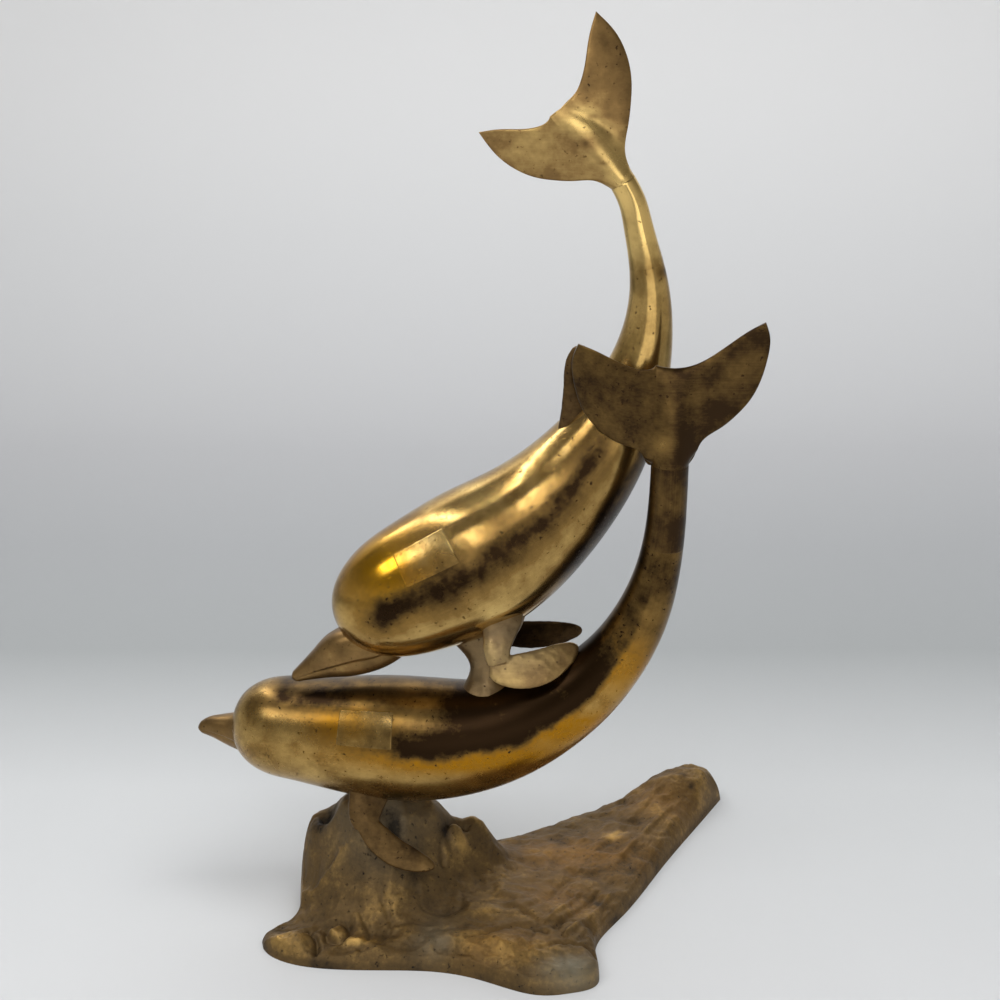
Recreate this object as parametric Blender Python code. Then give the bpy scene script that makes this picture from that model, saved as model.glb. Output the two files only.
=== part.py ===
"""Dolphin sculpture: two brass dolphins, one leaping above the other, over a rock base.

Every casting is its own piece. The bodies and the base are hollow castings, the tail stocks
plug into the bodies and the flukes, and fins and beaks are fitted to the bodies' surfaces and
brazed there. All sizes are in millimetres and become metres in one place.
"""

import bmesh
import bpy
import numpy as np

METRES = 0.001

# Middle of the footprint in the measures below, taken as the sculpture's origin
MIDDLE = (-1.0, 6.0, 0.0)

# Fits and walls
GAP = 0.3
BODY_WALL = 3.0
BASE_WALL = 4.0

# Where the lower dolphin's belly would touch the rock, and how deep it is let in
SEAT_HEIGHT = 67.0
SEAT_DEPTH = 6.0

# Lower dolphin's centre line from head to fluke: x, y, height above the seat, half height, half width
LOWER_LINE = [
    (-138, 0, 40, 28.5, 27),
    (-103, -7, 38.5, 29.5, 29),
    (-48, -16, 36.5, 35.5, 33),
    (9, -22, 42.5, 30.5, 29),
    (59, -28, 71, 21, 20),
    (89, -34, 114, 15, 14),
    (100.5, -40, 162, 10.8, 10.5),
    (102, -45, 205, 9.8, 9.5),
]
LOWER_HEAD_ROUND = 34.0

# Upper dolphin's centre line, from the top of the lower one's back under it
UPPER_LINE = [
    (-73.5, 0, 32.5, 32, 28),
    (-37.5, 2, 53.5, 36.5, 33),
    (-0.5, 6, 70.5, 41, 36.5),
    (36.5, 10, 96.5, 35, 32),
    (67.5, 12, 133, 26.5, 25),
    (88, 12, 179, 16.5, 16),
    (91.5, 11, 220, 10.3, 10.3),
    (84.5, 9, 253, 7.6, 7.6),
    (81.4, 8.3, 264, 7.1, 7.1),
    (76, 7, 274.5, 6.8, 6.8),
]
UPPER_HEAD_ROUND = 46.0
HEAD_POWER = 2.3

# Tail stocks, measured back from the fluke
STOCK_LENGTH = 46.0
SPIGOT_LENGTH = 12.0
FLUKE_SPIGOT_RADIUS = 3.0
FLUKE_SPIGOT_LENGTH = 6.0

# Flukes: one half of the outline as span and distance from the stock
LOWER_LEADING_EDGE = [
    (12, 4), (15, 12.5), (24, 19.5), (32, 26.5), (39.5, 36), (44.2, 47), (46.6, 58), (47, 69), (44.5, 76.5),
]
LOWER_TRAILING_EDGE = [(5, 52.8), (12, 55), (21, 60.5), (30.3, 67.6), (38, 73), (44.5, 76.5)]
UPPER_LEADING_EDGE = [
    (7.5, 4), (10.5, 11), (19, 19), (27, 26.5), (34.5, 35), (40, 45), (43, 58), (42, 72),
]
UPPER_TRAILING_EDGE = [(5, 49.5), (10, 49), (15, 51), (23, 57.5), (32, 65.5), (42, 72)]
# Each lobe, left and right: how far its tip bends to the far side, how far back, its reach.
# The bends grow from the stock to the tip by these powers of the span
LOWER_LOBES = ((20, 18, 1.08), (0, 0, 1.0))
UPPER_LOBES = ((8, 6, 0.93), (8, 0, 1.03))
FAR_BEND_POWER = 1.5
BACK_BEND_POWER = 0.6
FLUKE_THICKNESS = 4.4
FLUKE_TURN = -90.0
LOWER_FLUKE_LEAN = 0.0
UPPER_FLUKE_LEAN = 11.0

# Beaks from the tip back into the head, in the head's own directions
LOWER_BEAK_LINE = [
    (-23.6, -2.3, -9.4, 2.4, 3),
    (-18.6, -2.8, -8.2, 5, 4.5),
    (-11.5, -2.8, -7.4, 7.3, 7),
    (-2.3, -2.6, -7.6, 10, 9.5),
    (10.3, -1.1, -6.6, 14, 13),
    (24.7, 0.1, -4, 17, 17),
]
UPPER_BEAK_LINE = [
    (-40.5, -5.3, -10.5, 2.4, 3),
    (-31, -4.5, -11, 5.6, 5),
    (-20.5, -3.7, -11.6, 9.4, 8),
    (-11.4, -2.4, -12, 12.6, 11),
    (4.6, -0.8, -15, 14.5, 14),
    (20.4, -1.3, -17, 13.5, 16),
    (34, -1.5, -14, 10, 14),
]
BEAK_TIP_ROUND = 3.0

# Pectoral fins: where they leave the body, then stem and blade as along, to the near side, up.
# A stem's half widths follow its points, and its thickness is a share of them from root to heel
PECTORAL_THICKNESS = 3.2
STEM_THINNING = (0.7, 0.35)
LOWER_PECTORAL_STATION = 85.0
LOWER_BLADE_WIDTH = 16.0
LOWER_STEM_HALVES = (13, 9, 7, 6)
LOWER_NEAR_STEM = [(0, 10.9, -15.6), (-2.6, 19.4, -29.7), (-2.6, 25.4, -39.7), (-1.5, 26.5, -43)]
LOWER_NEAR_BLADE = [(-6, 26, -36.5), (13.5, 28.4, -55.5), (37, 24, -66)]
LOWER_FAR_STEM = [(0, -14.8, -13.6), (3, -21.4, -27.5), (6, -24.2, -37.4), (8, -25, -41)]
LOWER_FAR_BLADE = [(-2, -23.4, -37.5), (8, -28, -49), (20, -32, -56)]
UPPER_PECTORAL_STATION = 90.0
UPPER_BLADE_WIDTH = 20.0
UPPER_STEM_HALVES = (12, 7.5, 5.5, 5)
UPPER_NEAR_STEM = [(-3, 16.8, -20), (-12.5, 23.4, -32.4), (-20.2, 26.7, -42.2), (-23, 27.5, -49)]
UPPER_NEAR_BLADE = [(-29.8, 26.8, -49.8), (-8.7, 28, -61.2), (18.2, 18.6, -66)]
UPPER_FAR_STEM = [(0, -15.2, -21.1), (-10, -24.3, -36.8), (-17.2, -28, -46.3), (-20, -28.5, -50)]
UPPER_FAR_BLADE = [(-23.6, -28.7, -49.6), (-3.9, -28.7, -63.8), (22.4, -27.1, -76.1)]

# Dorsal fins: along, to the near side, up, half chord, half thickness
POST_STATION = 149.0
POST_TOP_STATION = 84.0
POST_SECTIONS = [(18, 11), (9, 6), (6.4, 5), (9, 7), (19, 12)]
POST_FOOT = (3, 2, 9)
POST_REACH = 0.85
UPPER_DORSAL_STATION = 178.0
UPPER_DORSAL_LINE = [
    (0, 2, 8, 18, 7),
    (16, 7, 24, 11, 4),
    (26, 11, 33, 8.2, 3),
    (37, 15, 40, 5.5, 2.3),
    (40, 16, 42, 3, 1.4),
]

# Core hole covers let into the near sides
COVER_LENGTH = 30.0
COVER_HEIGHT = 20.0
LOWER_COVER_STATION = 83.0
LOWER_COVER_ANGLE = 30.0
UPPER_COVER_STATION = 62.0
UPPER_COVER_ANGLE = 34.0

# Lump of braze metal between the post, the upper belly and the near pectoral fin
BRAZE_RADIUS = 5.0
BRAZE_STATION = 82.0
BRAZE_ANGLE = -58.0

# Rock base: its foot on the floor, front from left to right, then the back, in pairs
BASE_FRONT = [
    (-117, -68), (-110, -77), (-90, -86), (-57, -89), (-25, -90), (3, -98), (30, -111), (52, -110),
    (67, -99), (67, -68), (86, -32), (112, 19), (137, 66), (151, 92), (159, 107),
]
BASE_BACK = [
    (-118.5, -62), (-110, -50), (-101, -36), (-103, -8), (-93, 16), (-68, 32), (-36, 38), (-4, 40),
    (24, 48), (50, 66), (76, 86), (99, 104), (121, 117), (139, 124), (154, 121),
]
BASE_EDGE_HEIGHT = 4.5
BASE_CREST_HEIGHTS = [2, 4, 11, 13, 8, 11, 14]
BASE_HOLLOW_HEIGHT = 34.0
BASE_RIM_CEILING = 3.0
# Humps of the rock: x, y, top, half length, half width, turn in degrees, steepness
BASE_HUMPS = [
    (-86, -4, 44, 19, 22, 20, 5.0),
    (-7, -4, 42, 22, 15, 25, 2.4),
    (-26, -9, 50, 13, 14, 0, 2.4),
    (54, -98, 13, 16, 12, 0, 2.0),
    (128, 98, 25, 27, 17, 42, 2.4),
]
PEDESTAL = (-54, -16, SEAT_HEIGHT + SEAT_DEPTH, 34, 30, 15, 3.0)

# Facets
AROUND_BODY = 24
BODY_RINGS = 26
AROUND_BEAK = 20
BEAK_RINGS = 16
AROUND_FIN = 12
FIN_RINGS = 9
BASE_COLUMNS = 38
BASE_ROWS = 14


# Curves

def natural_spline(knots, values):
    """A natural cubic spline through the values at the knots, as a function of the knot value."""
    knots = np.asarray(knots, float)
    values = np.asarray(values, float).reshape(len(knots), -1)
    steps = np.diff(knots)
    system = np.eye(len(knots))
    bends = np.zeros_like(values)
    for i in range(1, len(knots) - 1):
        system[i, i - 1:i + 2] = steps[i - 1], 2 * (steps[i - 1] + steps[i]), steps[i]
        slope_after = (values[i + 1] - values[i]) / steps[i]
        slope_before = (values[i] - values[i - 1]) / steps[i - 1]
        bends[i] = 6 * (slope_after - slope_before)
    second = np.linalg.solve(system, bends)

    def read(at):
        at = np.atleast_1d(np.asarray(at, float))
        i = np.clip(np.searchsorted(knots, at, side="right") - 1, 0, len(knots) - 2)
        before = (knots[i + 1] - at)[:, None]
        after = (at - knots[i])[:, None]
        step = steps[i][:, None]
        curve = (second[i] * before**3 + second[i + 1] * after**3) / (6 * step)
        curve += (values[i] / step - second[i] * step / 6) * before
        curve += (values[i + 1] / step - second[i + 1] * step / 6) * after
        return curve

    return read


def arc_knots(points):
    """Distances along a chain of points, from zero."""
    steps = np.linalg.norm(np.diff(np.asarray(points, float), axis=0), axis=1)
    return np.concatenate([[0.0], np.cumsum(steps)])


def unit(vectors):
    """Vectors of length one."""
    return vectors / np.linalg.norm(vectors, axis=-1, keepdims=True)


class CentreLine:
    """A smooth centre line with an oval section that changes along it.

    Stations are distances from the head. The side direction points to the near side (-Y) and
    the up direction to the animal's back.
    """

    def __init__(self, rows, head_round):
        rows = np.asarray(rows, float)
        knots = arc_knots(rows[:, :3])
        self.length = knots[-1]
        self.head_round = head_round
        self.position = natural_spline(knots, rows[:, :3])
        self.section = natural_spline(knots, rows[:, 3:5])

    def frame(self, stations):
        """Place, direction, side and up at the stations, in line past both ends."""
        stations = np.atleast_1d(np.asarray(stations, float))
        inside = np.clip(stations, 0, self.length)
        step = 0.5
        along = unit(self.position(inside + step) - self.position(inside - step))
        near = np.array([0.0, -1.0, 0.0])
        side = unit(near - along * (along @ near)[:, None])
        place = self.position(inside) + along * (stations - inside)[:, None]
        return place, along, side, np.cross(side, along)

    def halves(self, stations, grow=0.0):
        """Half height and half width of the oval section, grown or shrunk all round."""
        stations = np.atleast_1d(np.asarray(stations, float))
        size = self.section(np.clip(stations, 0, self.length)) + grow
        to_round = np.clip(1 - (stations + grow) / (self.head_round + grow), 0, 1)
        return size * ((1 - to_round**HEAD_POWER) ** (1 / HEAD_POWER))[:, None]

    def rings(self, stations, grow=0.0, around=AROUND_BODY):
        """Oval rings at the stations, the first point repeated at the end of each."""
        place, _, side, up = self.frame(stations)
        half = self.halves(stations, grow)
        angle = np.linspace(0, 2 * np.pi, around + 1)
        across = side[:, None] * (half[:, 1:2] * np.cos(angle))[..., None]
        upward = up[:, None] * (half[:, 0:1] * np.sin(angle))[..., None]
        return place[:, None] + across + upward

    def surface(self, station, angle):
        """A point on the skin and the outward direction there; the angle rises from the near side."""
        place, _, side, up = (value[0] for value in self.frame(station))
        half_height, half_width = self.halves(station)[0]
        turn = np.radians(angle)
        outward = side * np.cos(turn) + up * np.sin(turn)
        return place + side * half_width * np.cos(turn) + up * half_height * np.sin(turn), outward

    def local(self, station, offsets):
        """Points given as along, side and up of one station."""
        place, along, side, up = self.frame(station)
        offsets = np.asarray(offsets, float)
        return place + offsets[:, :1] * along + offsets[:, 1:2] * side + offsets[:, 2:3] * up

    def head_stations(self, end, grow=0.0, count=BODY_RINGS):
        """Stations from the tip of the head to the end, close together where the head rounds."""
        rounded = count // 3
        head = self.head_round + grow
        sweep = np.linspace(0, np.pi / 2, rounded)
        return np.concatenate([
            head * (1 - np.cos(sweep)) - grow,
            np.linspace(self.head_round, end, count - rounded + 1)[1:],
        ])


# Meshes and modifiers

def collection(name):
    """A new collection in the scene."""
    made = bpy.data.collections.new(name)
    bpy.context.scene.collection.children.link(made)
    return made


def mesh_object(name, grids, target):
    """One closed mesh from grids of points in millimetres that meet edge to edge."""
    shape = bmesh.new()
    for grid in grids:
        rows, columns = grid.shape[:2]
        points = [[shape.verts.new((point - MIDDLE) * METRES) for point in row] for row in grid]
        for i in range(rows - 1):
            for j in range(columns - 1):
                shape.faces.new((points[i][j], points[i][j + 1], points[i + 1][j + 1], points[i + 1][j]))
    bmesh.ops.remove_doubles(shape, verts=shape.verts, dist=1e-6)
    bmesh.ops.recalc_face_normals(shape, faces=shape.faces)
    mesh = bpy.data.meshes.new(name)
    shape.to_mesh(mesh)
    shape.free()
    made = bpy.data.objects.new(name, mesh)
    target.objects.link(made)
    mesh.shade_smooth()
    return made


def capped(rings):
    """Grids of a loft whose two ends close to their middles."""
    first = np.repeat(rings[:1, :-1].mean(axis=1, keepdims=True), rings.shape[1], axis=1)
    last = np.repeat(rings[-1:, :-1].mean(axis=1, keepdims=True), rings.shape[1], axis=1)
    return [np.concatenate([first, rings, last])]


def cutter(name, grids):
    """A shape that only cuts or joins others."""
    made = mesh_object(name, grids, CUTTERS)
    made.hide_render = True
    made.display_type = "WIRE"
    return made


def combine(piece, other, operation):
    """Cut, join or intersect a piece with another shape."""
    change = piece.modifiers.new(operation.lower() + "_" + other.name, "BOOLEAN")
    change.operation = operation
    change.object = other
    change.solver = "EXACT"


def cut(piece, *others):
    """Cut a piece with other shapes."""
    for other in others:
        combine(piece, other, "DIFFERENCE")


def finish(piece, colour, roughness):
    """A metal finish: linear colour and roughness."""
    material = bpy.data.materials.new(piece.name + "_finish")
    material.use_nodes = True
    shader = material.node_tree.nodes["Principled BSDF"]
    shader.inputs["Base Color"].default_value = (*colour, 1.0)
    shader.inputs["Metallic"].default_value = 1.0
    shader.inputs["Roughness"].default_value = roughness
    piece.data.materials.append(material)


POLISHED_BRASS = ((0.42, 0.29, 0.10), 0.28)
DULL_BRASS = ((0.30, 0.21, 0.12), 0.42)
BROWN_PATINA = ((0.13, 0.09, 0.05), 0.40)
ROCK_BRONZE = ((0.16, 0.11, 0.06), 0.50)
BRAZE_METAL = ((0.50, 0.40, 0.24), 0.45)


# Dolphin bodies, stocks and beaks

def body_grids(line, end):
    """A hollow casting: outer skin, rim at the open tail end, inner skin."""
    outer = line.rings(line.head_stations(end))
    inner = line.rings(line.head_stations(end, -BODY_WALL), -BODY_WALL)
    return [np.concatenate([outer, inner[::-1]])]


def body_envelope(name, line, grow):
    """The body as a closed solid without its hollow, grown all round, down to the fluke."""
    stations = line.head_stations(line.length, grow, BODY_RINGS + 4)
    return cutter(name, capped(line.rings(stations, grow)))


def stock_grids(line, start):
    """A tail stock with a spigot for the body and a smaller one for the fluke."""
    end = line.length - GAP
    stations = np.linspace(start + GAP, end, 8)
    outer = line.rings(stations)
    body_spigot = line.rings([start - SPIGOT_LENGTH, start + GAP], -BODY_WALL - GAP)
    place, _, side, up = line.frame([end, line.length + FLUKE_SPIGOT_LENGTH])
    angle = np.linspace(0, 2 * np.pi, AROUND_BODY + 1)
    circle = side[:, None] * np.cos(angle)[:, None] + up[:, None] * np.sin(angle)[:, None]
    fluke_spigot = place[:, None] + circle * FLUKE_SPIGOT_RADIUS
    return capped(np.concatenate([body_spigot, outer, fluke_spigot]))


def beak_grids(body_line, rows):
    """A beak that starts at its tip and runs into the head."""
    rows = np.asarray(rows, float)
    points = body_line.local(0.0, rows[:, :3])
    line = CentreLine(np.hstack([points, rows[:, 3:]]), BEAK_TIP_ROUND)
    return capped(line.rings(line.head_stations(line.length, 0.0, BEAK_RINGS), 0.0, AROUND_BEAK))


# Fins

def bar_rings(points, half_chords, half_thicks, across, grow=0.0, rings=FIN_RINGS):
    """Oval rings along a curved bar, its chord turned to the across direction."""
    knots = arc_knots(points)
    stations = np.linspace(0, knots[-1], rings)
    place = natural_spline(knots, points)(stations)
    halves = natural_spline(knots, np.column_stack([half_chords, half_thicks]))(stations) + grow
    along = unit(np.gradient(place, axis=0))
    across = unit(across - along * (along @ across)[:, None])
    through = np.cross(along, across)
    angle = np.linspace(0, 2 * np.pi, AROUND_FIN + 1)
    chord = across[:, None] * (halves[:, :1] * np.cos(angle))[..., None]
    thickness = through[:, None] * (halves[:, 1:] * np.sin(angle))[..., None]
    return place[:, None] + chord + thickness


def blade_rings(points, width, thickness, across, grow=0.0):
    """A leaf along a curved line: round heel, slimmer tip, oval sections."""
    knots = arc_knots(points)
    sweep = 0.5 - 0.5 * np.cos(np.linspace(0.12, np.pi - 0.12, FIN_RINGS + 2))
    place = natural_spline(knots, points)(sweep * knots[-1])
    outline = np.sqrt(1 - (2 * sweep**0.85 - 1) ** 2)
    along = unit(np.gradient(place, axis=0))
    across = unit(across - along * (along @ across)[:, None])
    through = np.cross(along, across)
    angle = np.linspace(0, 2 * np.pi, AROUND_FIN + 1)
    half_chord = (outline * width / 2 + grow)[:, None]
    half_thick = (outline**0.5 * thickness / 2 + grow)[:, None]
    chord = across[:, None] * (half_chord * np.cos(angle))[..., None]
    depth = through[:, None] * (half_thick * np.sin(angle))[..., None]
    return place[:, None] + chord + depth


def pectoral_fin(name, line, station, stem, stem_halves, blade, width, grow=0.0):
    """A pectoral fin: a stem from the body into the heel of a swept blade."""
    stem_points = line.local(station, stem)
    blade_points = line.local(station, blade)
    stem_direction = stem_points[0] - stem_points[-1]
    half_thicks = np.linspace(*STEM_THINNING, len(stem)) * stem_halves
    chordwise = unit(blade_points[-1] - blade_points[0])
    stem_grids = capped(bar_rings(stem_points, stem_halves, half_thicks, chordwise, grow))
    blade_grids = capped(blade_rings(blade_points, width, PECTORAL_THICKNESS, stem_direction, grow))
    if grow:
        return cutter(name + "_stem", stem_grids), cutter(name + "_blade", blade_grids)
    fin = mesh_object(name, blade_grids, PARTS)
    combine(fin, cutter(name + "_stem", stem_grids), "UNION")
    return fin


def fluke_outline(leading, trailing, radius, sink, columns):
    """Leading and trailing points for one half: across the stock's end, then out to the tip."""
    root = 4
    lobe = 0.5 - 0.5 * np.cos(np.linspace(0, np.pi, columns - root + 1))
    lead_points = np.array([(radius, -sink)] + list(leading), float)
    lead_lobe = natural_spline(arc_knots(lead_points), lead_points)(lobe * arc_knots(lead_points)[-1])
    root_spans = radius * np.sin(np.linspace(0, np.pi / 2, root + 1))[:-1]
    lead_root = np.column_stack([root_spans, np.full(root, -sink)])
    trail_points = np.array([(0, trailing[0][1] - 0.5)] + list(trailing), float)
    knots = arc_knots(trail_points)
    share = np.concatenate([np.linspace(0, 0.1, root + 1)[:-1], 0.1 + 0.9 * lobe])
    trail = natural_spline(knots, trail_points)(share * knots[-1])
    return np.vstack([lead_root, lead_lobe]), trail


def fluke_grids(line, leading, trailing, lobes, lean, grow=0.0):
    """A fluke as two sheets that meet along its edge, with a hub that carries on the stock.

    Each point lies between the leading and the trailing edge. Its height off the middle plane
    joins an oval hub, which fades towards the trailing edge, with the blade's lens section. The
    hub starts a little inside the stock, so that the stock's end face can cut it to fit.
    """
    end = line.length
    radius = line.halves(end)[0].mean()
    lean = np.radians(lean)
    lead, trail = fluke_outline(leading, trailing, radius, radius * np.sin(lean) + GAP, 15)
    rows = np.sin(np.linspace(0, np.pi / 2, 4))**2 / 2
    rows = np.concatenate([rows, 1 - rows[-2::-1]])
    share = rows[None, :, None]
    half = lead[:, None] * (1 - share) + trail[:, None] * share
    span = np.concatenate([-half[:0:-1, :, 0], half[:, :, 0]])
    chord = np.concatenate([half[:0:-1, :, 1], half[:, :, 1]])
    outward = np.linspace(0, 1, len(lead))
    outward = np.concatenate([outward[:0:-1], outward])[:, None]
    lens = np.sqrt(np.clip(4 * rows * (1 - rows), 0, 1))[None]
    tip_fade = np.sqrt(np.clip(1 - outward**8, 0, 1))
    blade = FLUKE_THICKNESS / 2 * lens * tip_fade
    along_hub = np.clip(chord / trail[0, 1], 0, 1)
    hub_height = radius * (1 - 0.85 * along_hub**0.8)
    hub = hub_height * np.sqrt(np.clip(1 - (span / radius) ** 2, 0, 1)) * np.sqrt(1 - rows[None] ** 4)
    height = (hub**3 + blade**3) ** (1 / 3)
    place, along, side, up = (value[0] for value in line.frame(end))
    turn = np.radians(FLUKE_TURN)
    across = side * np.cos(turn) + up * np.sin(turn)
    normal = np.cross(across, along)
    along, across = along * np.cos(lean) - across * np.sin(lean), across * np.cos(lean) + along * np.sin(lean)
    lobe = np.clip((np.abs(span) - radius) / (np.abs(span).max() - radius), 0, 1)
    away, back, reach = np.where(span[..., None] < 0, *np.array(lobes, float)).transpose(2, 0, 1)
    span = span + np.sign(span) * lobe * (reach - 1) * np.abs(span).max()
    chord = chord - back * lobe**BACK_BEND_POWER
    away = away * lobe**FAR_BEND_POWER
    middle = place + across * span[..., None] + along * chord[..., None] - normal * away[..., None]
    front = middle + normal * (height + grow)[..., None]
    rear = middle - normal * (height + grow)[..., None]
    sheets = [front, rear, np.stack([front[:, 0], rear[:, 0]])]
    if grow:
        edges = ((front[:, -1], rear[:, -1]), (front[0], rear[0]), (front[-1], rear[-1]))
        sheets += [np.stack(edge) for edge in edges]
    return sheets


# Braze and covers

def lump(name, centre, radius):
    """A rounded lump of braze metal."""
    polar = np.linspace(0, np.pi, 9)
    angle = np.linspace(0, 2 * np.pi, 13)
    ring = np.stack([np.outer(np.sin(polar), np.cos(angle)), np.outer(np.sin(polar), np.sin(angle))], axis=-1)
    height = np.repeat(np.cos(polar)[:, None], len(angle), axis=1)
    return mesh_object(name, [centre + radius * np.dstack([ring, height])], PARTS)


def cover_block(name, line, station, angle, grow):
    """A block through the body's wall, square to the surface at a station and angle."""
    along = line.frame(station)[1][0]
    skin, outward = line.surface(station, angle)
    rise = np.cross(outward, along)
    corners = []
    for depth in (-5 * BODY_WALL, 2 * BODY_WALL):
        for rises in (-1, 1):
            for slides in (-1, 1):
                height = rises * (COVER_HEIGHT / 2 + grow)
                length = slides * (COVER_LENGTH / 2 + grow)
                corners.append(skin + outward * depth + rise * height + along * length)
    low, high = np.array(corners[:4]), np.array(corners[4:])
    loop = [0, 1, 3, 2, 0]
    return cutter(name, capped(np.stack([low[loop], high[loop]])))


# Rock base

def base_surface(across_share, along_share):
    """Top of the rock: a grid between the front and back feet, with a crest and humps."""
    indexes = np.linspace(0, 1, len(BASE_FRONT))
    front = natural_spline(indexes, BASE_FRONT)(along_share)
    back = natural_spline(indexes, BASE_BACK)(along_share)
    share = across_share[..., None]
    plan = front[:, None] * (1 - share) + back[:, None] * share
    crest_knots = np.linspace(0, 1, len(BASE_CREST_HEIGHTS))
    crest = natural_spline(crest_knots, BASE_CREST_HEIGHTS)(along_share)
    from_crest = np.abs(2 * across_share - 1)
    height = BASE_EDGE_HEIGHT + crest * np.sqrt(np.clip(1 - from_crest**2.4, 0, 1))
    inland = np.clip((1 - from_crest) * 6, 0, 1) ** 0.5
    for x, y, top, half_length, half_width, turn, steepness in BASE_HUMPS + [PEDESTAL]:
        cosine, sine = np.cos(np.radians(turn)), np.sin(np.radians(turn))
        along = ((plan[..., 0] - x) * cosine + (plan[..., 1] - y) * sine) / half_length
        across = ((plan[..., 1] - y) * cosine - (plan[..., 0] - x) * sine) / half_width
        share = inland * np.exp(-((along**2 + across**2) ** (steepness / 2)))
        height = height + np.clip(top - height, 0, None) * share
    return np.dstack([plan, height]), np.linalg.norm(back - front, axis=1)


def base_grids():
    """A hollow rock open underneath: outer skin, flat rim on the floor, inner skin."""
    along = 0.5 - 0.5 * np.cos(np.linspace(0, np.pi, BASE_COLUMNS))
    across = 0.5 - 0.5 * np.cos(np.linspace(0, np.pi, BASE_ROWS))
    outer, widths = base_surface(np.tile(across, (BASE_COLUMNS, 1)), along)
    travel = arc_knots(outer[:, BASE_ROWS // 2])
    first, last = np.interp([BASE_WALL, travel[-1] - BASE_WALL], travel, along)
    along_in = first + along * (last - first)
    _, widths_in = base_surface(np.tile(across, (BASE_COLUMNS, 1)), along_in)
    margin = np.minimum(BASE_WALL / widths_in, 0.4)[:, None]
    across_in = across[None] * (1 - 2 * margin) + margin
    inner, _ = base_surface(across_in, along_in)
    ceiling = inner[..., 2] - BASE_WALL
    for turn in np.radians(np.arange(0, 360, 45)):
        across_near = np.clip(across_in + margin * np.sin(turn), 0, 1)
        along_near = np.clip(along_in + BASE_WALL / travel[-1] * np.cos(turn), 0, 1)
        ceiling = np.minimum(ceiling, base_surface(across_near, along_near)[0][..., 2])
    inner[..., 2] = np.clip(ceiling, BASE_RIM_CEILING, BASE_HOLLOW_HEIGHT)

    def boundary(grid):
        return np.concatenate([grid[:, 0], grid[-1, 1:], grid[-2::-1, -1], grid[0, -2::-1]])

    outer_edge, inner_edge = boundary(outer), boundary(inner)
    floor = np.array([1.0, 1.0, 0.0])
    walls = np.stack([outer_edge, outer_edge * floor, inner_edge * floor, inner_edge])
    return [outer, walls, inner]


# Assembly

class Dolphin:
    """One dolphin: its centre line and the pieces fitted along it."""

    def __init__(self, name, rows, origin, head_round):
        rows = np.asarray(rows, float)
        rows[:, :3] += origin
        self.name = name
        self.line = CentreLine(rows, head_round)
        self.joint = self.line.length - STOCK_LENGTH
        self.clearance = body_envelope(name + "_body_clearance", self.line, GAP)

    def make_body(self, station, angle):
        """The hollow body and the cover over its core hole."""
        grids = body_grids(self.line, self.joint)
        window = cover_block(self.name + "_window", self.line, station, angle, GAP)
        block = cover_block(self.name + "_cover_block", self.line, station, angle, 0.0)
        body = mesh_object(self.name + "_body", grids, PARTS)
        cut(body, window)
        cover = mesh_object(self.name + "_core_cover", grids, PARTS)
        combine(cover, block, "INTERSECT")
        finish(body, *POLISHED_BRASS)
        finish(cover, *POLISHED_BRASS)

    def make_stock(self, look):
        """The solid tail stock."""
        stock = mesh_object(self.name + "_tail_stock", stock_grids(self.line, self.joint), PARTS)
        finish(stock, *look)

    def make_fluke(self, outline, look):
        """The fluke with its socket for the stock's spigot, cut to fit the stock's end."""
        fluke = mesh_object(self.name + "_fluke", fluke_grids(self.line, *outline), PARTS)
        ends = (self.line.length - FLUKE_SPIGOT_LENGTH, self.line.length + FLUKE_SPIGOT_LENGTH + GAP)
        place, _, side, up = self.line.frame(ends)
        angle = np.linspace(0, 2 * np.pi, AROUND_BODY + 1)
        circle = side[:, None] * np.cos(angle)[:, None] + up[:, None] * np.sin(angle)[:, None]
        socket = place[:, None] + circle * (FLUKE_SPIGOT_RADIUS + GAP)
        cut(fluke, cutter(self.name + "_fluke_socket", capped(socket)), self.clearance)
        finish(fluke, *look)
        return fluke

    def make_beak(self, rows, *neighbours):
        """The beak, seated on the head."""
        beak = mesh_object(self.name + "_beak", beak_grids(self.line, rows), PARTS)
        cut(beak, self.clearance, *neighbours)
        finish(beak, *DULL_BRASS)

    def make_pectoral(self, side, station, stem, stem_halves, blade, width, *neighbours):
        """One pectoral fin, seated on the body; gives the shapes that clear it."""
        name = f"{self.name}_{side}_pectoral_fin"
        fin = pectoral_fin(name, self.line, station, stem, stem_halves, blade, width)
        cut(fin, self.clearance, *neighbours)
        finish(fin, *DULL_BRASS)
        return pectoral_fin(name + "_clearance", self.line, station, stem, stem_halves, blade, width, GAP)


def clear_scene():
    """Start from an empty scene."""
    for existing in list(bpy.data.objects):
        bpy.data.objects.remove(existing, do_unlink=True)


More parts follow.
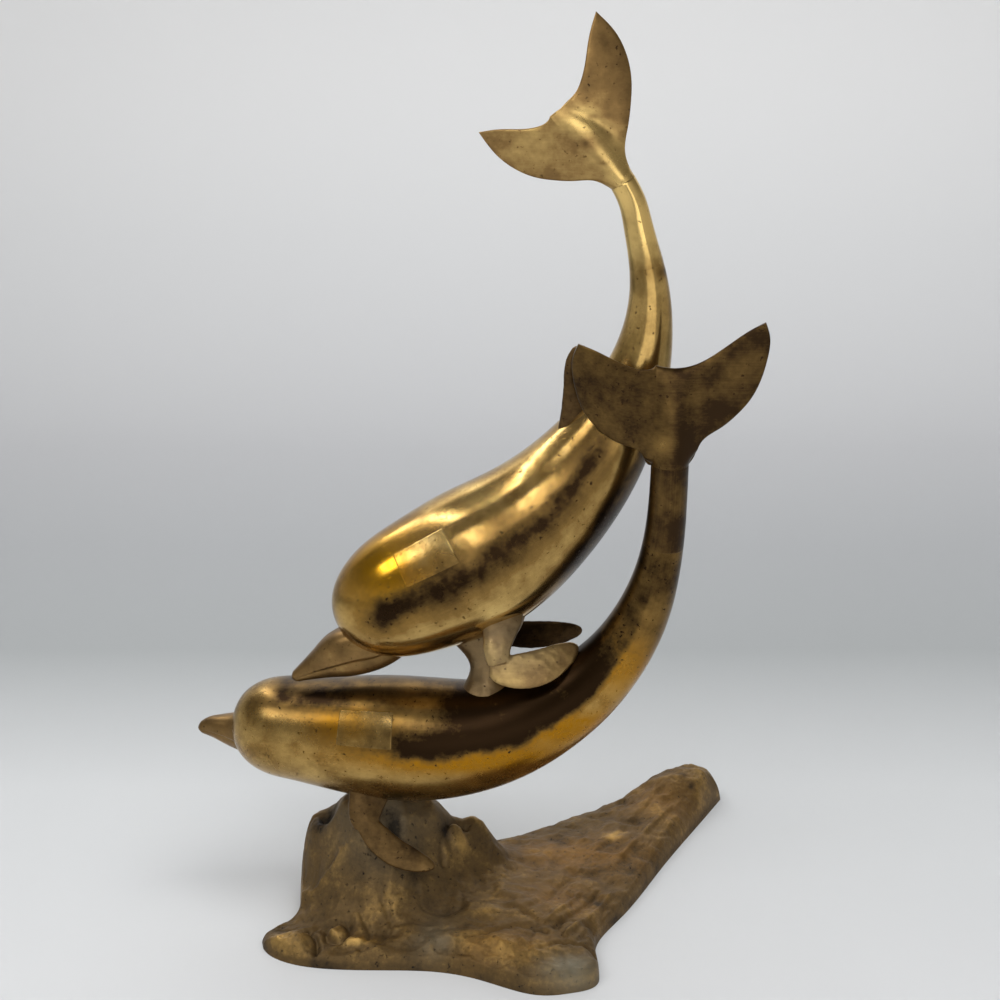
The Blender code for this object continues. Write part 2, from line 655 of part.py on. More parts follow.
def build():
    """Make every piece of the sculpture."""
    lower = Dolphin("lower", LOWER_LINE, (0, 0, SEAT_HEIGHT), LOWER_HEAD_ROUND)
    back_height = lower.line.halves(POST_STATION)[0, 0]
    back = lower.line.local(POST_STATION, [(0, 0, back_height)])[0]
    upper = Dolphin("upper", UPPER_LINE, back, UPPER_HEAD_ROUND)

    lower.make_body(LOWER_COVER_STATION, LOWER_COVER_ANGLE)
    lower.make_stock(BROWN_PATINA)
    lower_fluke = (LOWER_LEADING_EDGE, LOWER_TRAILING_EDGE, LOWER_LOBES, LOWER_FLUKE_LEAN)
    lower.make_fluke(lower_fluke, BROWN_PATINA)
    lower.make_beak(LOWER_BEAK_LINE)
    lower_near = (LOWER_NEAR_STEM, LOWER_STEM_HALVES, LOWER_NEAR_BLADE, LOWER_BLADE_WIDTH)
    lower_far = (LOWER_FAR_STEM, LOWER_STEM_HALVES, LOWER_FAR_BLADE, LOWER_BLADE_WIDTH)
    near_space = lower.make_pectoral("near", LOWER_PECTORAL_STATION, *lower_near)
    far_space = lower.make_pectoral("far", LOWER_PECTORAL_STATION, *lower_far)

    base = mesh_object("base_casting", base_grids(), PARTS)
    cut(base, lower.clearance, *near_space, *far_space)
    finish(base, *ROCK_BRONZE)

    upper.make_body(UPPER_COVER_STATION, UPPER_COVER_ANGLE)
    upper.make_stock(POLISHED_BRASS)
    upper_fluke = (UPPER_LEADING_EDGE, UPPER_TRAILING_EDGE, UPPER_LOBES, UPPER_FLUKE_LEAN)
    upper.make_fluke(upper_fluke, DULL_BRASS)
    upper.make_beak(UPPER_BEAK_LINE, lower.clearance)
    upper_near = (UPPER_NEAR_STEM, UPPER_STEM_HALVES, UPPER_NEAR_BLADE, UPPER_BLADE_WIDTH)
    upper_far = (UPPER_FAR_STEM, UPPER_STEM_HALVES, UPPER_FAR_BLADE, UPPER_BLADE_WIDTH)
    near_space = upper.make_pectoral("near", UPPER_PECTORAL_STATION, *upper_near, lower.clearance)
    far_space = upper.make_pectoral("far", UPPER_PECTORAL_STATION, *upper_far, lower.clearance)

    foot = lower.line.local(POST_STATION, [POST_FOOT])[0]
    top = upper.line.frame(POST_TOP_STATION)[0][0]
    shares = np.linspace(0, POST_REACH, len(POST_SECTIONS))[:, None]
    half_chords, half_thicks = np.array(POST_SECTIONS).T
    lengthwise = np.array([1.0, 0.0, 0.0])
    post_line = (foot * (1 - shares) + top * shares, half_chords, half_thicks, lengthwise)
    post = mesh_object("lower_dorsal_fin", capped(bar_rings(*post_line)), PARTS)
    cut(post, lower.clearance, upper.clearance, *near_space, *far_space)
    finish(post, *DULL_BRASS)
    post_space = cutter("lower_dorsal_fin_clearance", capped(bar_rings(*post_line, GAP)))

    centre, outward = upper.line.surface(BRAZE_STATION, BRAZE_ANGLE)
    braze = lump("dorsal_fin_braze", centre + outward, BRAZE_RADIUS)
    cut(braze, upper.clearance, post_space, *near_space)
    finish(braze, *BRAZE_METAL)

    rows = np.array(UPPER_DORSAL_LINE, float)
    points = upper.line.local(UPPER_DORSAL_STATION, rows[:, :3])
    along = upper.line.frame(UPPER_DORSAL_STATION)[1][0]
    dorsal = mesh_object("upper_dorsal_fin", capped(bar_rings(points, rows[:, 3], rows[:, 4], along)), PARTS)
    fluke_space = cutter("lower_fluke_clearance", fluke_grids(lower.line, *lower_fluke, GAP))
    cut(dorsal, upper.clearance, fluke_space)
    finish(dorsal, *DULL_BRASS)


clear_scene()
PARTS = collection("dolphin_sculpture")
CUTTERS = collection("cutters")
build()
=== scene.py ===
"""Two leaping brass dolphins over a rough cast rock base, dressed after a photograph.

Each casting is rebuilt as a fine surface over its CAD solid. Sizes are in millimetres in the
row's frame, and become metres where a mesh is made.
"""

import logging
from dataclasses import dataclass, field, replace
from enum import Enum
from functools import partial
from typing import Any, Callable, Optional, Sequence, Union

import bpy
import numpy as np
from mathutils import Matrix, Vector


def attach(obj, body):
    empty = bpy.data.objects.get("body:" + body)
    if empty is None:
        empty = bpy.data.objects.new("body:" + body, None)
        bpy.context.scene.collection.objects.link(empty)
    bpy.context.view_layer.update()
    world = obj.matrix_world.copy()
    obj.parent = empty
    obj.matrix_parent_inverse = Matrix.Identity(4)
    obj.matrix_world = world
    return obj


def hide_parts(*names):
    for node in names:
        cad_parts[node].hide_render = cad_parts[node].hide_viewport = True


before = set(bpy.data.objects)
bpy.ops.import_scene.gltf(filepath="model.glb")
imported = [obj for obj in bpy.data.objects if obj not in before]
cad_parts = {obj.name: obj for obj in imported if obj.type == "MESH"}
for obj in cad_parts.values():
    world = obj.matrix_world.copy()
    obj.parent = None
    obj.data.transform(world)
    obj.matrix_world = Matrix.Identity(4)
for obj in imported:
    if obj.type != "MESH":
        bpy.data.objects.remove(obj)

LOG = logging.getLogger("dolphins")
METRES = 0.001

Array = np.ndarray
Point = tuple[float, float, float]
Rows = Sequence[Sequence[float]]
Made = tuple[bpy.types.Mesh, Array, Array]


# Numbers and curves


def unit(vectors: Array) -> Array:
    """Scale vectors to length one.

    Args:
        vectors: an array whose last axis holds x, y, z.

    Returns:
        The same array with every vector of length one, or zero where it was zero.
    """
    length = np.linalg.norm(vectors, axis=-1, keepdims=True)
    return vectors / np.maximum(length, 1e-12)


def ease(values: Array, low: float, high: float) -> Array:
    """Rise smoothly from zero to one between two limits.

    Args:
        values: any array.
        low: where the rise starts.
        high: where it ends.

    Returns:
        An array of the same shape, by 3t squared minus 2t cubed.
    """
    share = np.clip((np.asarray(values, float) - low) / (high - low), 0.0, 1.0)
    return share * share * (3.0 - 2.0 * share)


def arc_knots(points: Array) -> Array:
    """Measure distances along a chain of points.

    Args:
        points: the chain, one point a row.

    Returns:
        The distance of each point from the first, along the chain.
    """
    steps = np.linalg.norm(np.diff(np.asarray(points, float), axis=0), axis=1)
    return np.concatenate([[0.0], np.cumsum(steps)])


def natural_spline(knots: Array, values: Array) -> Callable[[Array], Array]:
    """Run a natural cubic spline through values.

    Args:
        knots: rising positions of the values.
        values: one value or vector for each knot.

    Returns:
        A function from positions to an array of values, one row a position.
    """
    knots = np.asarray(knots, float)
    values = np.asarray(values, float).reshape(len(knots), -1)
    steps = np.diff(knots)
    system = np.eye(len(knots))
    bends = np.zeros_like(values)
    for i in range(1, len(knots) - 1):
        system[i, i - 1:i + 2] = steps[i - 1], 2 * (steps[i - 1] + steps[i]), steps[i]
        slope_after = (values[i + 1] - values[i]) / steps[i]
        slope_before = (values[i] - values[i - 1]) / steps[i - 1]
        bends[i] = 6 * (slope_after - slope_before)
    second = np.linalg.solve(system, bends)

    def read(at: Array) -> Array:
        """Read the spline.

        Args:
            at: positions.

        Returns:
            One row of values for each position.
        """
        at = np.atleast_1d(np.asarray(at, float))
        i = np.clip(np.searchsorted(knots, at, side="right") - 1, 0, len(knots) - 2)
        before = (knots[i + 1] - at)[:, None]
        after = (at - knots[i])[:, None]
        step = steps[i][:, None]
        curve = (second[i] * before**3 + second[i + 1] * after**3) / (6 * step)
        curve += (values[i] / step - second[i] * step / 6) * before
        curve += (values[i + 1] / step - second[i + 1] * step / 6) * after
        return curve

    return read


def spread(points: Rows, shares: Array) -> Array:
    """Read a natural spline through points at shares of its length.

    Args:
        points: the points, one a row.
        shares: where to read, from 0 to 1.

    Returns:
        One point for each share.
    """
    knots = arc_knots(points)
    return natural_spline(knots, points)(shares * knots[-1])


def dense_at_ends(count: int, trim: float = 0.0) -> Array:
    """Space shares from 0 to 1 closely at both ends, by half of one minus a cosine.

    Args:
        count: number of shares.
        trim: angle left out at each end, in radians.

    Returns:
        The shares.
    """
    return 0.5 - 0.5 * np.cos(np.linspace(trim, np.pi - trim, count))


def chain_distance(points: Array, chain: Rows) -> Array:
    """Measure how far points lie from a chain of straight pieces.

    Args:
        points: an array whose last axis has as many numbers as the chain's points.
        chain: the chain's corners.

    Returns:
        The least distance of each point from the chain.
    """
    chain = np.asarray(chain, float)
    least = np.full(points.shape[:-1], np.inf)
    for start, end in zip(chain[:-1], chain[1:]):
        piece = end - start
        share = np.clip(((points - start) @ piece) / (piece @ piece), 0.0, 1.0)
        nearest = start + share[..., None] * piece
        least = np.minimum(least, np.linalg.norm(points - nearest, axis=-1))
    return least


class Unevenness:
    """Smooth noise from random values on a cube lattice that repeats."""

    # Lattice points along each edge of the cube
    SIZE = 32

    def __init__(self, seed: int) -> None:
        """Fill the lattice with random values drawn from the seed."""
        self.values = np.random.default_rng(seed).uniform(-1.0, 1.0, (self.SIZE,) * 3)

    def read(self, points: Array, scale: float) -> Array:
        """Read the noise by smooth mixing of the eight lattice points around each place.

        Args:
            points: places in millimetres.
            scale: distance of the lattice points in millimetres.

        Returns:
            One value from -1 to 1 for each place.
        """
        places = np.asarray(points, float) / scale + 0.37 * self.SIZE
        corner = np.floor(places).astype(int)
        share = places - corner
        share = share * share * (3.0 - 2.0 * share)
        total = np.zeros(places.shape[:-1])
        for step in np.ndindex(2, 2, 2):
            cell = (corner + step) % self.SIZE
            weight = np.where(np.array(step) == 1, share, 1.0 - share).prod(axis=-1)
            total += weight * self.values[cell[..., 0], cell[..., 1], cell[..., 2]]
        return total

    def layered(self, points: Array, scale: float, layers: int = 3) -> Array:
        """Add up layers of noise, each of half the size and strength of the one before."""
        parts = [self.read(points, scale / 2**i) / 2**i for i in range(layers)]
        return np.sum(parts, axis=0)


NOISE = Unevenness(11)


# Surfaces


@dataclass
class Spot:
    """A soft patch of brighter or darker tone: of the metal, or painted light and shade.

    Attributes:
        centre: its middle.
        size: how far it reaches along x, y and z.
        amount: what it adds to the tone in its middle.
    """

    centre: Point
    size: Point
    amount: float

    def over(self, points: Array) -> Array:
        """Give what the patch adds at each place, by a bell curve of the distance."""
        apart = (points - np.array(self.centre)) / np.array(self.size)
        return self.amount * np.exp(-(apart**2).sum(axis=-1))


@dataclass
class Shell:
    """A grid of points; going down the rows, then across the columns, turns outward.

    Attributes:
        points: rows by columns by three, in millimetres.
        wrap: whether the last column joins the first.
        capped: whether the first and last rows close to a middle point.
        straight: the same points with the body's bend taken out, for patterns along it.
        last_capped: whether the last row closes too, where the shell is capped.
    """

    points: Array
    wrap: bool = True
    capped: bool = True
    straight: Optional[Array] = None
    last_capped: bool = True

    def normals(self) -> Array:
        """Find outward directions from neighbouring points.

        Returns:
            One direction for each point.
        """
        down = np.gradient(self.points, axis=0)
        if self.wrap:
            across = np.roll(self.points, -1, axis=1) - np.roll(self.points, 1, axis=1)
        else:
            across = np.gradient(self.points, axis=1)
        return unit(np.cross(down, across))

    def pushed(self, heights: Array) -> "Shell":
        """Give the shell with every point moved outward by its height in millimetres."""
        moved = self.points + self.normals() * heights[..., None]
        return Shell(moved, self.wrap, self.capped, self.straight)

    def faces(self, first: int) -> tuple[Array, list[tuple[int, ...]], Array]:
        """Number the corners of the shell's faces.

        Args:
            first: number of the shell's first point in its mesh.

        Returns:
            The points with any cap points added, the faces, and the straight points.
        """
        rows, columns = self.points.shape[:2]
        index = np.arange(rows * columns).reshape(rows, columns) + first
        here = index if self.wrap else index[:, :-1]
        beside = np.roll(index, -1, axis=1) if self.wrap else index[:, 1:]
        quads = np.stack([here[:-1], here[1:], beside[1:], beside[:-1]], axis=-1).reshape(-1, 4)
        faces = [tuple(quad) for quad in quads.tolist()]
        points = self.points.reshape(-1, 3)
        straight = self.points if self.straight is None else self.straight
        straight = straight.reshape(-1, 3)
        if self.capped and self.wrap:
            start, end = first + rows * columns, first + rows * columns + 1
            faces += [(start, a, b) for a, b in zip(here[0].tolist(), beside[0].tolist())]
            if self.last_capped:
                faces += [(end, b, a) for a, b in zip(here[-1].tolist(), beside[-1].tolist())]
            points, straight = (
                np.vstack([grid, grid[:columns].mean(axis=0), grid[-columns:].mean(axis=0)])
                for grid in (points, straight)
            )
        return points, faces, straight


def mesh_from(name: str, shells: Sequence[Shell]) -> Made:
    """Make one smooth mesh from shells.

    Args:
        name: the mesh's name.
        shells: its shells.

    Returns:
        The mesh, its points in millimetres, and the straight points.
    """
    points: list[Array] = []
    straights: list[Array] = []
    faces: list[tuple[int, ...]] = []
    count = 0
    for shell in shells:
        more, shell_faces, straight = shell.faces(count)
        points.append(more)
        straights.append(straight)
        faces += shell_faces
        count += len(more)
    places = np.vstack(points)
    mesh = bpy.data.meshes.new(name)
    mesh.from_pydata((places * METRES).tolist(), [], faces)
    mesh.update()
    mesh.shade_smooth()
    return mesh, places, np.vstack(straights)


def into_scene(name: str, data: bpy.types.ID) -> bpy.types.Object:
    """Make an object and link it to the scene.

    Args:
        name: the object's name.
        data: its mesh, light or camera.

    Returns:
        The object.
    """
    thing = bpy.data.objects.new(name, data)
    bpy.context.scene.collection.objects.link(thing)
    return thing


def fused(name: str, shells: Sequence[Shell], voxel: float, rounds: int) -> Made:
    """Melt overlapping closed shells into one skin and soften the creases between them.

    Args:
        name: the mesh's name.
        shells: closed shells that overlap.
        voxel: size of the skin's cells in millimetres.
        rounds: rounds of smoothing.

    Returns:
        The mesh, its points in millimetres, and the same points again.
    """
    uneven, uneven_mm = 0.12, 4.0
    rough, _, _ = mesh_from(name + "_rough", shells)
    holder = into_scene(name + "_rough", rough)
    melt = holder.modifiers.new("melt", "REMESH")
    melt.mode = "VOXEL"
    melt.voxel_size = voxel * METRES
    soften = holder.modifiers.new("soften", "SMOOTH")
    soften.factor = 0.5
    soften.iterations = rounds
    depsgraph = bpy.context.evaluated_depsgraph_get()
    mesh = bpy.data.meshes.new_from_object(holder.evaluated_get(depsgraph))
    bpy.data.objects.remove(holder)
    bpy.data.meshes.remove(rough)
    mesh.name = name
    mesh.shade_smooth()
    places = np.empty(len(mesh.vertices) * 3)
    mesh.vertices.foreach_get("co", places)
    directions = np.empty(len(mesh.vertices) * 3)
    mesh.vertices.foreach_get("normal", directions)
    places = places.reshape(-1, 3) / METRES
    places += directions.reshape(-1, 3) * (uneven * NOISE.layered(places, uneven_mm))[:, None]
    mesh.vertices.foreach_set("co", (places * METRES).ravel())
    mesh.update()
    return mesh, places, places


# Finishes


def linear(code: str) -> tuple[float, float, float, float]:
    """Turn an sRGB hex code into a linear colour.

    Args:
        code: such as "#A8853F".

    Returns:
        Red, green, blue and an alpha of one.
    """
    parts = [int(code[i:i + 2], 16) / 255 for i in (1, 3, 5)]
    channels = [c / 12.92 if c <= 0.04045 else ((c + 0.055) / 1.055) ** 2.4 for c in parts]
    return channels[0], channels[1], channels[2], 1.0


@dataclass(frozen=True)
class Finish:
    """A metal finish whose colour follows a tone from 0, dark patina, to 1, bright metal.

    Attributes:
        name: the material's name.
        slot: the record's material slot; it is not used.
        dark: sRGB colour of thick patina.
        plain: sRGB colour of the usual surface.
        bright: sRGB colour of rubbed metal.
        amber: sRGB colour of the honey-coloured film on polished metal.
        roughness: roughness at tone 0 and at tone 1.
        metallic: metallic value at tone 0 and at tone 1.
        cloud_mm: size of cloudy patches.
        cloud: strength of cloudy patches.
        grain: strength of the fine mottling.
        streak: strength of the polishing marks.
        pits: strength of dark specks.
        bump_mm: depth of the fine unevenness.
        tarnish: sRGB colour of dull grey metal.
    """

    name: str
    slot: str
    dark: str
    plain: str
    bright: str
    amber: str
    roughness: tuple[float, float]
    metallic: tuple[float, float]
    cloud_mm: float
    cloud: float
    grain: float
    streak: float
    pits: float
    bump_mm: float
    tarnish: str = "#86806E"

    def noises(self, tree: bpy.types.NodeTree) -> dict[str, bpy.types.NodeSocket]:
        """Add the finish's noises over the straightened piece.

        Real polishing marks are some 0.1 mm apart. They are drawn 0.9 mm apart, to show.

        Args:
            tree: the material's node tree.

        Returns:
            Sockets with values around 0.5, by name.
        """
        even = (1.0, 1.0, 1.0)
        # Size in mm, finer layers, their strength, and stretch along, across and up
        table = {
            "cloud": (self.cloud_mm, 5.0, 0.5, even),
            "grain": (2.6, 5.0, 0.6, even),
            "along": (0.9, 3.0, 0.5, (40.0, 1.0, 1.0)),
            "around": (0.8, 2.0, 0.5, (1.0, 14.0, 14.0)),
            "pits": (2.4, 2.0, 0.5, even),
        }
        add = partial(add_node, tree)
        straight = add("ShaderNodeAttribute", output="Vector", attribute_name="straight")
        noises = {}
        for name, (size_mm, layers, gain, stretch) in table.items():
            scale = [1.0 / part for part in stretch]
            place = add("ShaderNodeMapping", {"Vector": straight, "Scale": scale})
            per_metre = 1.0 / (size_mm * METRES)
            inputs = {"Vector": place, "Scale": per_metre, "Detail": layers, "Roughness": gain}
            noises[name] = add("ShaderNodeTexNoise", inputs, "Fac")
        return noises

    def material(self) -> bpy.types.Material:
        """Build the material from the piece's tone, amber and straight attributes.

        Clouds, mottling and polishing marks shift the tone around its attribute, and pits
        lower it. The tone picks colour, roughness and metallic value. Where amber is above
        zero a honey-coloured film lies on all but dark metal, and where it is below zero grey
        tarnish does.

        Returns:
            The material.
        """
        cloud_gain = 1.6
        pit_limits = (0.66, 0.74)
        mottled_roughness = 0.03
        grain_depth, mark_depth, pit_depth = 0.7, 2.0 * self.streak, 1.2

        material = bpy.data.materials.new(self.name)
        material.use_nodes = True
        tree = material.node_tree
        add = partial(add_node, tree)
        noises = self.noises(tree)
        grain = noises["grain"]
        pits = add("ShaderNodeMapRange", (noises["pits"], *pit_limits))

        shifts = {"cloud": cloud_gain * self.cloud, "grain": self.grain, "along": self.streak}
        tone = add("ShaderNodeAttribute", output="Fac", attribute_name="tone")
        for name, strength in shifts.items():
            inputs = (noises[name], 2.0 * strength, -strength)
            shift = add("ShaderNodeMath", inputs, operation="MULTIPLY_ADD")
            tone = add("ShaderNodeMath", (tone, shift), operation="ADD")
        tone = add("ShaderNodeMath", (pits, -self.pits, tone), operation="MULTIPLY_ADD")

        # What is mapped, its range, and the values at the range's ends
        ranges = {
            "worn": (grain, 0.3, 0.6, 0.75, 1.0),
            "film": (tone, 0.1, 0.42, 0.0, 1.0),
            "tarnish": (tone, 0.0, 0.3, -0.2, -1.0),
            "roughness": (tone, 0.0, 1.0, *self.roughness),
            "metallic": (tone, 0.0, 1.0, *self.metallic),
        }
        mapped = {name: add("ShaderNodeMapRange", inputs) for name, inputs in ranges.items()}
        colour = add("ShaderNodeValToRGB", (tone,))
        stops = colour.node.color_ramp.elements
        stops[0].color, stops[1].color = linear(self.dark), linear(self.bright)
        stops.new(0.5).color = linear(self.plain)
        amber = add("ShaderNodeAttribute", output="Fac", attribute_name="amber")
        film = add("ShaderNodeMath", (amber, mapped["worn"]), operation="MULTIPLY")
        film = add("ShaderNodeMath", (film, mapped["film"]), operation="MULTIPLY")
        tarnish = add("ShaderNodeMath", (amber, mapped["tarnish"]), operation="MULTIPLY")
        for share, code in ((film, self.amber), (tarnish, self.tarnish)):
            inputs = {0: share, 6: colour, 7: linear(code)}
            colour = add("ShaderNodeMix", inputs, 2, data_type="RGBA")

        inputs = (grain, 2.0 * mottled_roughness, -mottled_roughness)
        mottle = add("ShaderNodeMath", inputs, operation="MULTIPLY_ADD")
        roughness = add("ShaderNodeMath", (mapped["roughness"], mottle), operation="ADD")
        marks = add("ShaderNodeMath", (noises["around"], mark_depth), operation="MULTIPLY")
        height = add("ShaderNodeMath", (grain, grain_depth, marks), operation="MULTIPLY_ADD")
        height = add("ShaderNodeMath", (pits, -pit_depth, height), operation="MULTIPLY_ADD")
        inputs = {"Height": height, "Strength": 1.0, "Distance": self.bump_mm * METRES}
        results = {
            "Base Color": colour,
            "Roughness": roughness,
            "Metallic": mapped["metallic"],
            "Normal": add("ShaderNodeBump", inputs),
        }
        for name, socket in results.items():
            tree.links.new(socket, tree.nodes["Principled BSDF"].inputs[name])
        return material


class Metal(Enum):
    """The sculpture's finishes."""

    # Cast brass, buffed, then browned by age: long clean streaks of light with soft ends
    POLISHED = Finish(
        "buffed_cast_brass", "polished_brass", "#261705", "#8C6E3C", "#E2C078", "#C6901A",
        (0.27, 0.13), (0.9, 1.0), 22.0, 0.18, 0.12, 0.05, 0.4, 0.03,
    )
    # The same brass, dulled by hands: the lamps blur into a wide glow
    HANDLED = Finish(
        "hand_worn_cast_brass", "polished_brass", "#261705", "#8C6E3C", "#E2C078", "#A87412",
        (0.31, 0.24), (0.9, 1.0), 22.0, 0.18, 0.14, 0.05, 0.4, 0.03,
    )
    # Brass sheet, filed flush: a fine grain that breaks the body's gloss
    PATCH = Finish(
        "filed_sheet_brass", "polished_brass", "#33220D", "#8B7040", "#DABE7E", "#C88C1C",
        (0.33, 0.20), (0.9, 1.0), 8.0, 0.26, 0.16, 0.0, 0.3, 0.04,
    )
    # Cast brass, rubbed with a fine abrasive: a soft sheen without a mirror image
    SATIN = Finish(
        "satin_rubbed_cast_brass", "dull_brass", "#33220D", "#8C6E42", "#E2C078", "#B88A30",
        (0.46, 0.24), (0.8, 1.0), 18.0, 0.18, 0.12, 0.05, 0.3, 0.05,
    )
    # Cast brass under thick brown patina: dark, with a low gloss at the edges
    BROWN = Finish(
        "brown_patinated_cast_brass", "brown_patina", "#33220D", "#8C6E3C", "#E2C078",
        "#C88C1C", (0.34, 0.20), (0.85, 1.0), 16.0, 0.13, 0.12, 0.08, 0.25, 0.04,
    )
    # Brass as it left the sand mould: a broken, almost matt surface, gold only where rubbed
    ROCK = Finish(
        "rough_sand_cast_brass", "rock_bronze", "#241B10", "#6E5734", "#CBA45E", "#96692C",
        (0.66, 0.42), (0.55, 0.95), 18.0, 0.24, 0.26, 0.0, 0.3, 0.32,
    )
    # Braze filler, run on and left bare: a pale, bumpy, half-dull metal
    BRAZE = Finish(
        "bare_braze_filler", "braze_metal", "#4A3A28", "#8D7A5C", "#D8C49A", "#A88A50",
        (0.5, 0.36), (0.85, 1.0), 6.0, 0.3, 0.2, 0.0, 0.4, 0.12,
    )


def add_node(
    tree: bpy.types.NodeTree,
    kind: str,
    inputs: Union[Sequence[Any], dict[Union[str, int], Any]] = (),
    output: Union[str, int] = 0,
    **settings: Any,
) -> bpy.types.NodeSocket:
    """Add a shader node with its settings and links.

    Args:
        tree: the node tree.
        kind: the node's type.
        inputs: values, and sockets to link, in order or by the input's name or number.
        output: name or number of the output that is wanted.
        **settings: the node's own settings.

    Returns:
        That output.
    """
    node = tree.nodes.new(kind)
    for key, value in settings.items():
        setattr(node, key, value)
    for key, value in inputs.items() if isinstance(inputs, dict) else enumerate(inputs):
        if isinstance(value, bpy.types.NodeSocket):
            tree.links.new(value, node.inputs[key])
        else:
            node.inputs[key].default_value = value
    return node.outputs[output]


MATERIALS = {metal: metal.value.material() for metal in Metal}


@dataclass
class Paint:
    """Finish, tone and amber film of a piece.

    Attributes:
        metal: its finish.
        tone: the plain tone.
        spots: patches that change the tone; some are painted shade, shadow and highlights.
        film: patches that add amber film, or dull grey tarnish where they are below zero; some
            amber patches are painted highlights and reflections.
        smudges: strength and size in millimetres of brown smudges.
        change: a further change of tone from the places and the straight places.
    """

    metal: Metal
    tone: float
    spots: Sequence[Spot] = ()
    film: Sequence[Spot] = ()
    smudges: tuple[float, float] = (0.0, 9.0)
    change: Optional[Callable[[Array, Array], Array]] = None

    def values(self, places: Array, straight: Array) -> tuple[Array, Array]:
        """Work out tone and film at places.

        Args:
            places: places in millimetres.
            straight: the straight places.

        Returns:
            Tone and film for each place.
        """
        tone = np.full(len(places), self.tone) + sum(spot.over(places) for spot in self.spots)
        film = np.zeros(len(places)) + sum(spot.over(places) for spot in self.film)
        strength, size_mm = self.smudges
        if strength > 0.0:
            tone += strength * NOISE.layered(places, size_mm)
        if self.change is not None:
            tone += self.change(places, straight)
        return tone, np.clip(film, -1.0, 1.0)


def place_piece(
    name: str,
    shells: Sequence[Shell],
    paint: Paint,
    node: str,
    melt: Optional[tuple[float, int]] = None,
) -> None:
    """Put a finished piece in the scene in place of its CAD solid.

    Args:
        name: the piece's name.
        shells: its shells.
        paint: its finish, tone and film.
        node: the CAD node that it stands for.
        melt: cell size and rounds of smoothing, where the shells melt into one skin.
    """
    mesh, places, straight = fused(name, shells, *melt) if melt else mesh_from(name, shells)
    tone, film = paint.values(places, straight)
    for key, values in (("tone", tone), ("amber", film)):
        attribute = mesh.attributes.new(key, "FLOAT", "POINT")
        attribute.data.foreach_set("value", values.astype(np.float32))
    attribute = mesh.attributes.new("straight", "FLOAT_VECTOR", "POINT")
    attribute.data.foreach_set("vector", (straight * METRES).astype(np.float32).ravel())
    mesh.materials.clear()
    mesh.materials.append(MATERIALS[paint.metal])
    piece = into_scene(name, mesh)
    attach(piece, "root")
    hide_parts(node)
    LOG.info("%s: %d faces", name, len(mesh.polygons))


# Centre lines


class CentreLine:
    """A smooth centre line with an oval section that changes along it.

    Stations are distances from the head. The side direction points to the near side (-Y) and
    the up direction to the animal's back.
    """

    def __init__(self, rows: Rows, origin: Array, head_round: float, power: float) -> None:
        """Run the line through its rows.

        Args:
            rows: x, y, z, half height and half width at each row.
            origin: the rows' origin.
            head_round: length of the rounded head.
            power: 2 for an elliptic head, more for a blunter one.
        """
        table = np.array(rows, float)
        table[:, :3] += origin
        knots = arc_knots(table[:, :3])
        self.length = float(knots[-1])
        self.head_round = head_round
        self.power = power
        self.position = natural_spline(knots, table[:, :3])
        self.section = natural_spline(knots, table[:, 3:5])

    def frame(self, stations: Array) -> tuple[Array, Array, Array, Array]:
        """Find place, direction, side and up at stations, in line past both ends.

        Args:
            stations: distances from the head.

        Returns:
            Four arrays, one row a station.
        """
        stations = np.atleast_1d(np.asarray(stations, float))
        inside = np.clip(stations, 0, self.length)
        along = unit(self.position(inside + 0.5) - self.position(inside - 0.5))
        near = np.array([0.0, -1.0, 0.0])
        side = unit(near - along * (along @ near)[:, None])
        place = self.position(inside) + along * (stations - inside)[:, None]
        return place, along, side, np.cross(side, along)

    def halves(self, stations: Array) -> Array:
        """Give half height and half width, rounded to nothing at the head's tip.

        Args:
            stations: distances from the head.

        Returns:
            One row a station.
        """
        stations = np.atleast_1d(np.asarray(stations, float))
        size = self.section(np.clip(stations, 0, self.length))
        to_round = np.clip(1 - stations / self.head_round, 0, 1)
        return size * ((1 - to_round**self.power) ** (1 / self.power))[:, None]

    def skin(self, stations: Array, angles: Array) -> Shell:
        """Lay the skin: at each station an oval, cosine to the side and sine up.

        Args:
            stations: distances from the head, one a row.
            angles: angles round the section from the near side, one a column.

        Returns:
            A wrapped shell with its straight points.
        """
        place, _, side, up = self.frame(stations)
        half = self.halves(stations)
        across = half[:, 1:2] * np.cos(angles)
        upward = half[:, 0:1] * np.sin(angles)
        points = place[:, None] + side[:, None] * across[..., None]
        points += up[:, None] * upward[..., None]
        along = np.repeat(stations[:, None], len(angles), axis=1)
        straight = np.dstack([along, across, upward])
        return Shell(points, straight=straight)

    def head_stations(self, end: float, count: int) -> Array:
        """Space stations closely where the head rounds.

        Args:
            end: the last station.
            count: number of stations.

        Returns:
            The stations.
        """
        rounded = count // 4
        sweep = np.linspace(0.0, np.pi / 2, rounded)
        head = self.head_round * (1 - np.cos(sweep))
        return np.concatenate([head, np.linspace(self.head_round, end, count - rounded + 1)[1:]])

    def local(self, station: float, offsets: Rows) -> Array:
        """Place points given along, to the side and up from one station.

        Args:
            station: the station.
            offsets: the points in the station's own directions.

        Returns:
            The points.
        """
        place, along, side, up = self.frame(station)
        offsets = np.asarray(offsets, float)
        return place + offsets[:, :1] * along + offsets[:, 1:2] * side + offsets[:, 2:3] * up

    def surface(self, station: float, angle: float) -> tuple[Array, Array]:
        """Find a point of the skin and the outward direction there.

        Args:
            station: the station.
            angle: degrees round the section from the near side.

        Returns:
            The point and the direction.
        """
        place, _, side, up = (value[0] for value in self.frame(station))
        half_height, half_width = self.halves(station)[0]
        turn = np.radians(angle)
        outward = side * np.cos(turn) + up * np.sin(turn)
        return place + side * half_width * np.cos(turn) + up * half_height * np.sin(turn), outward


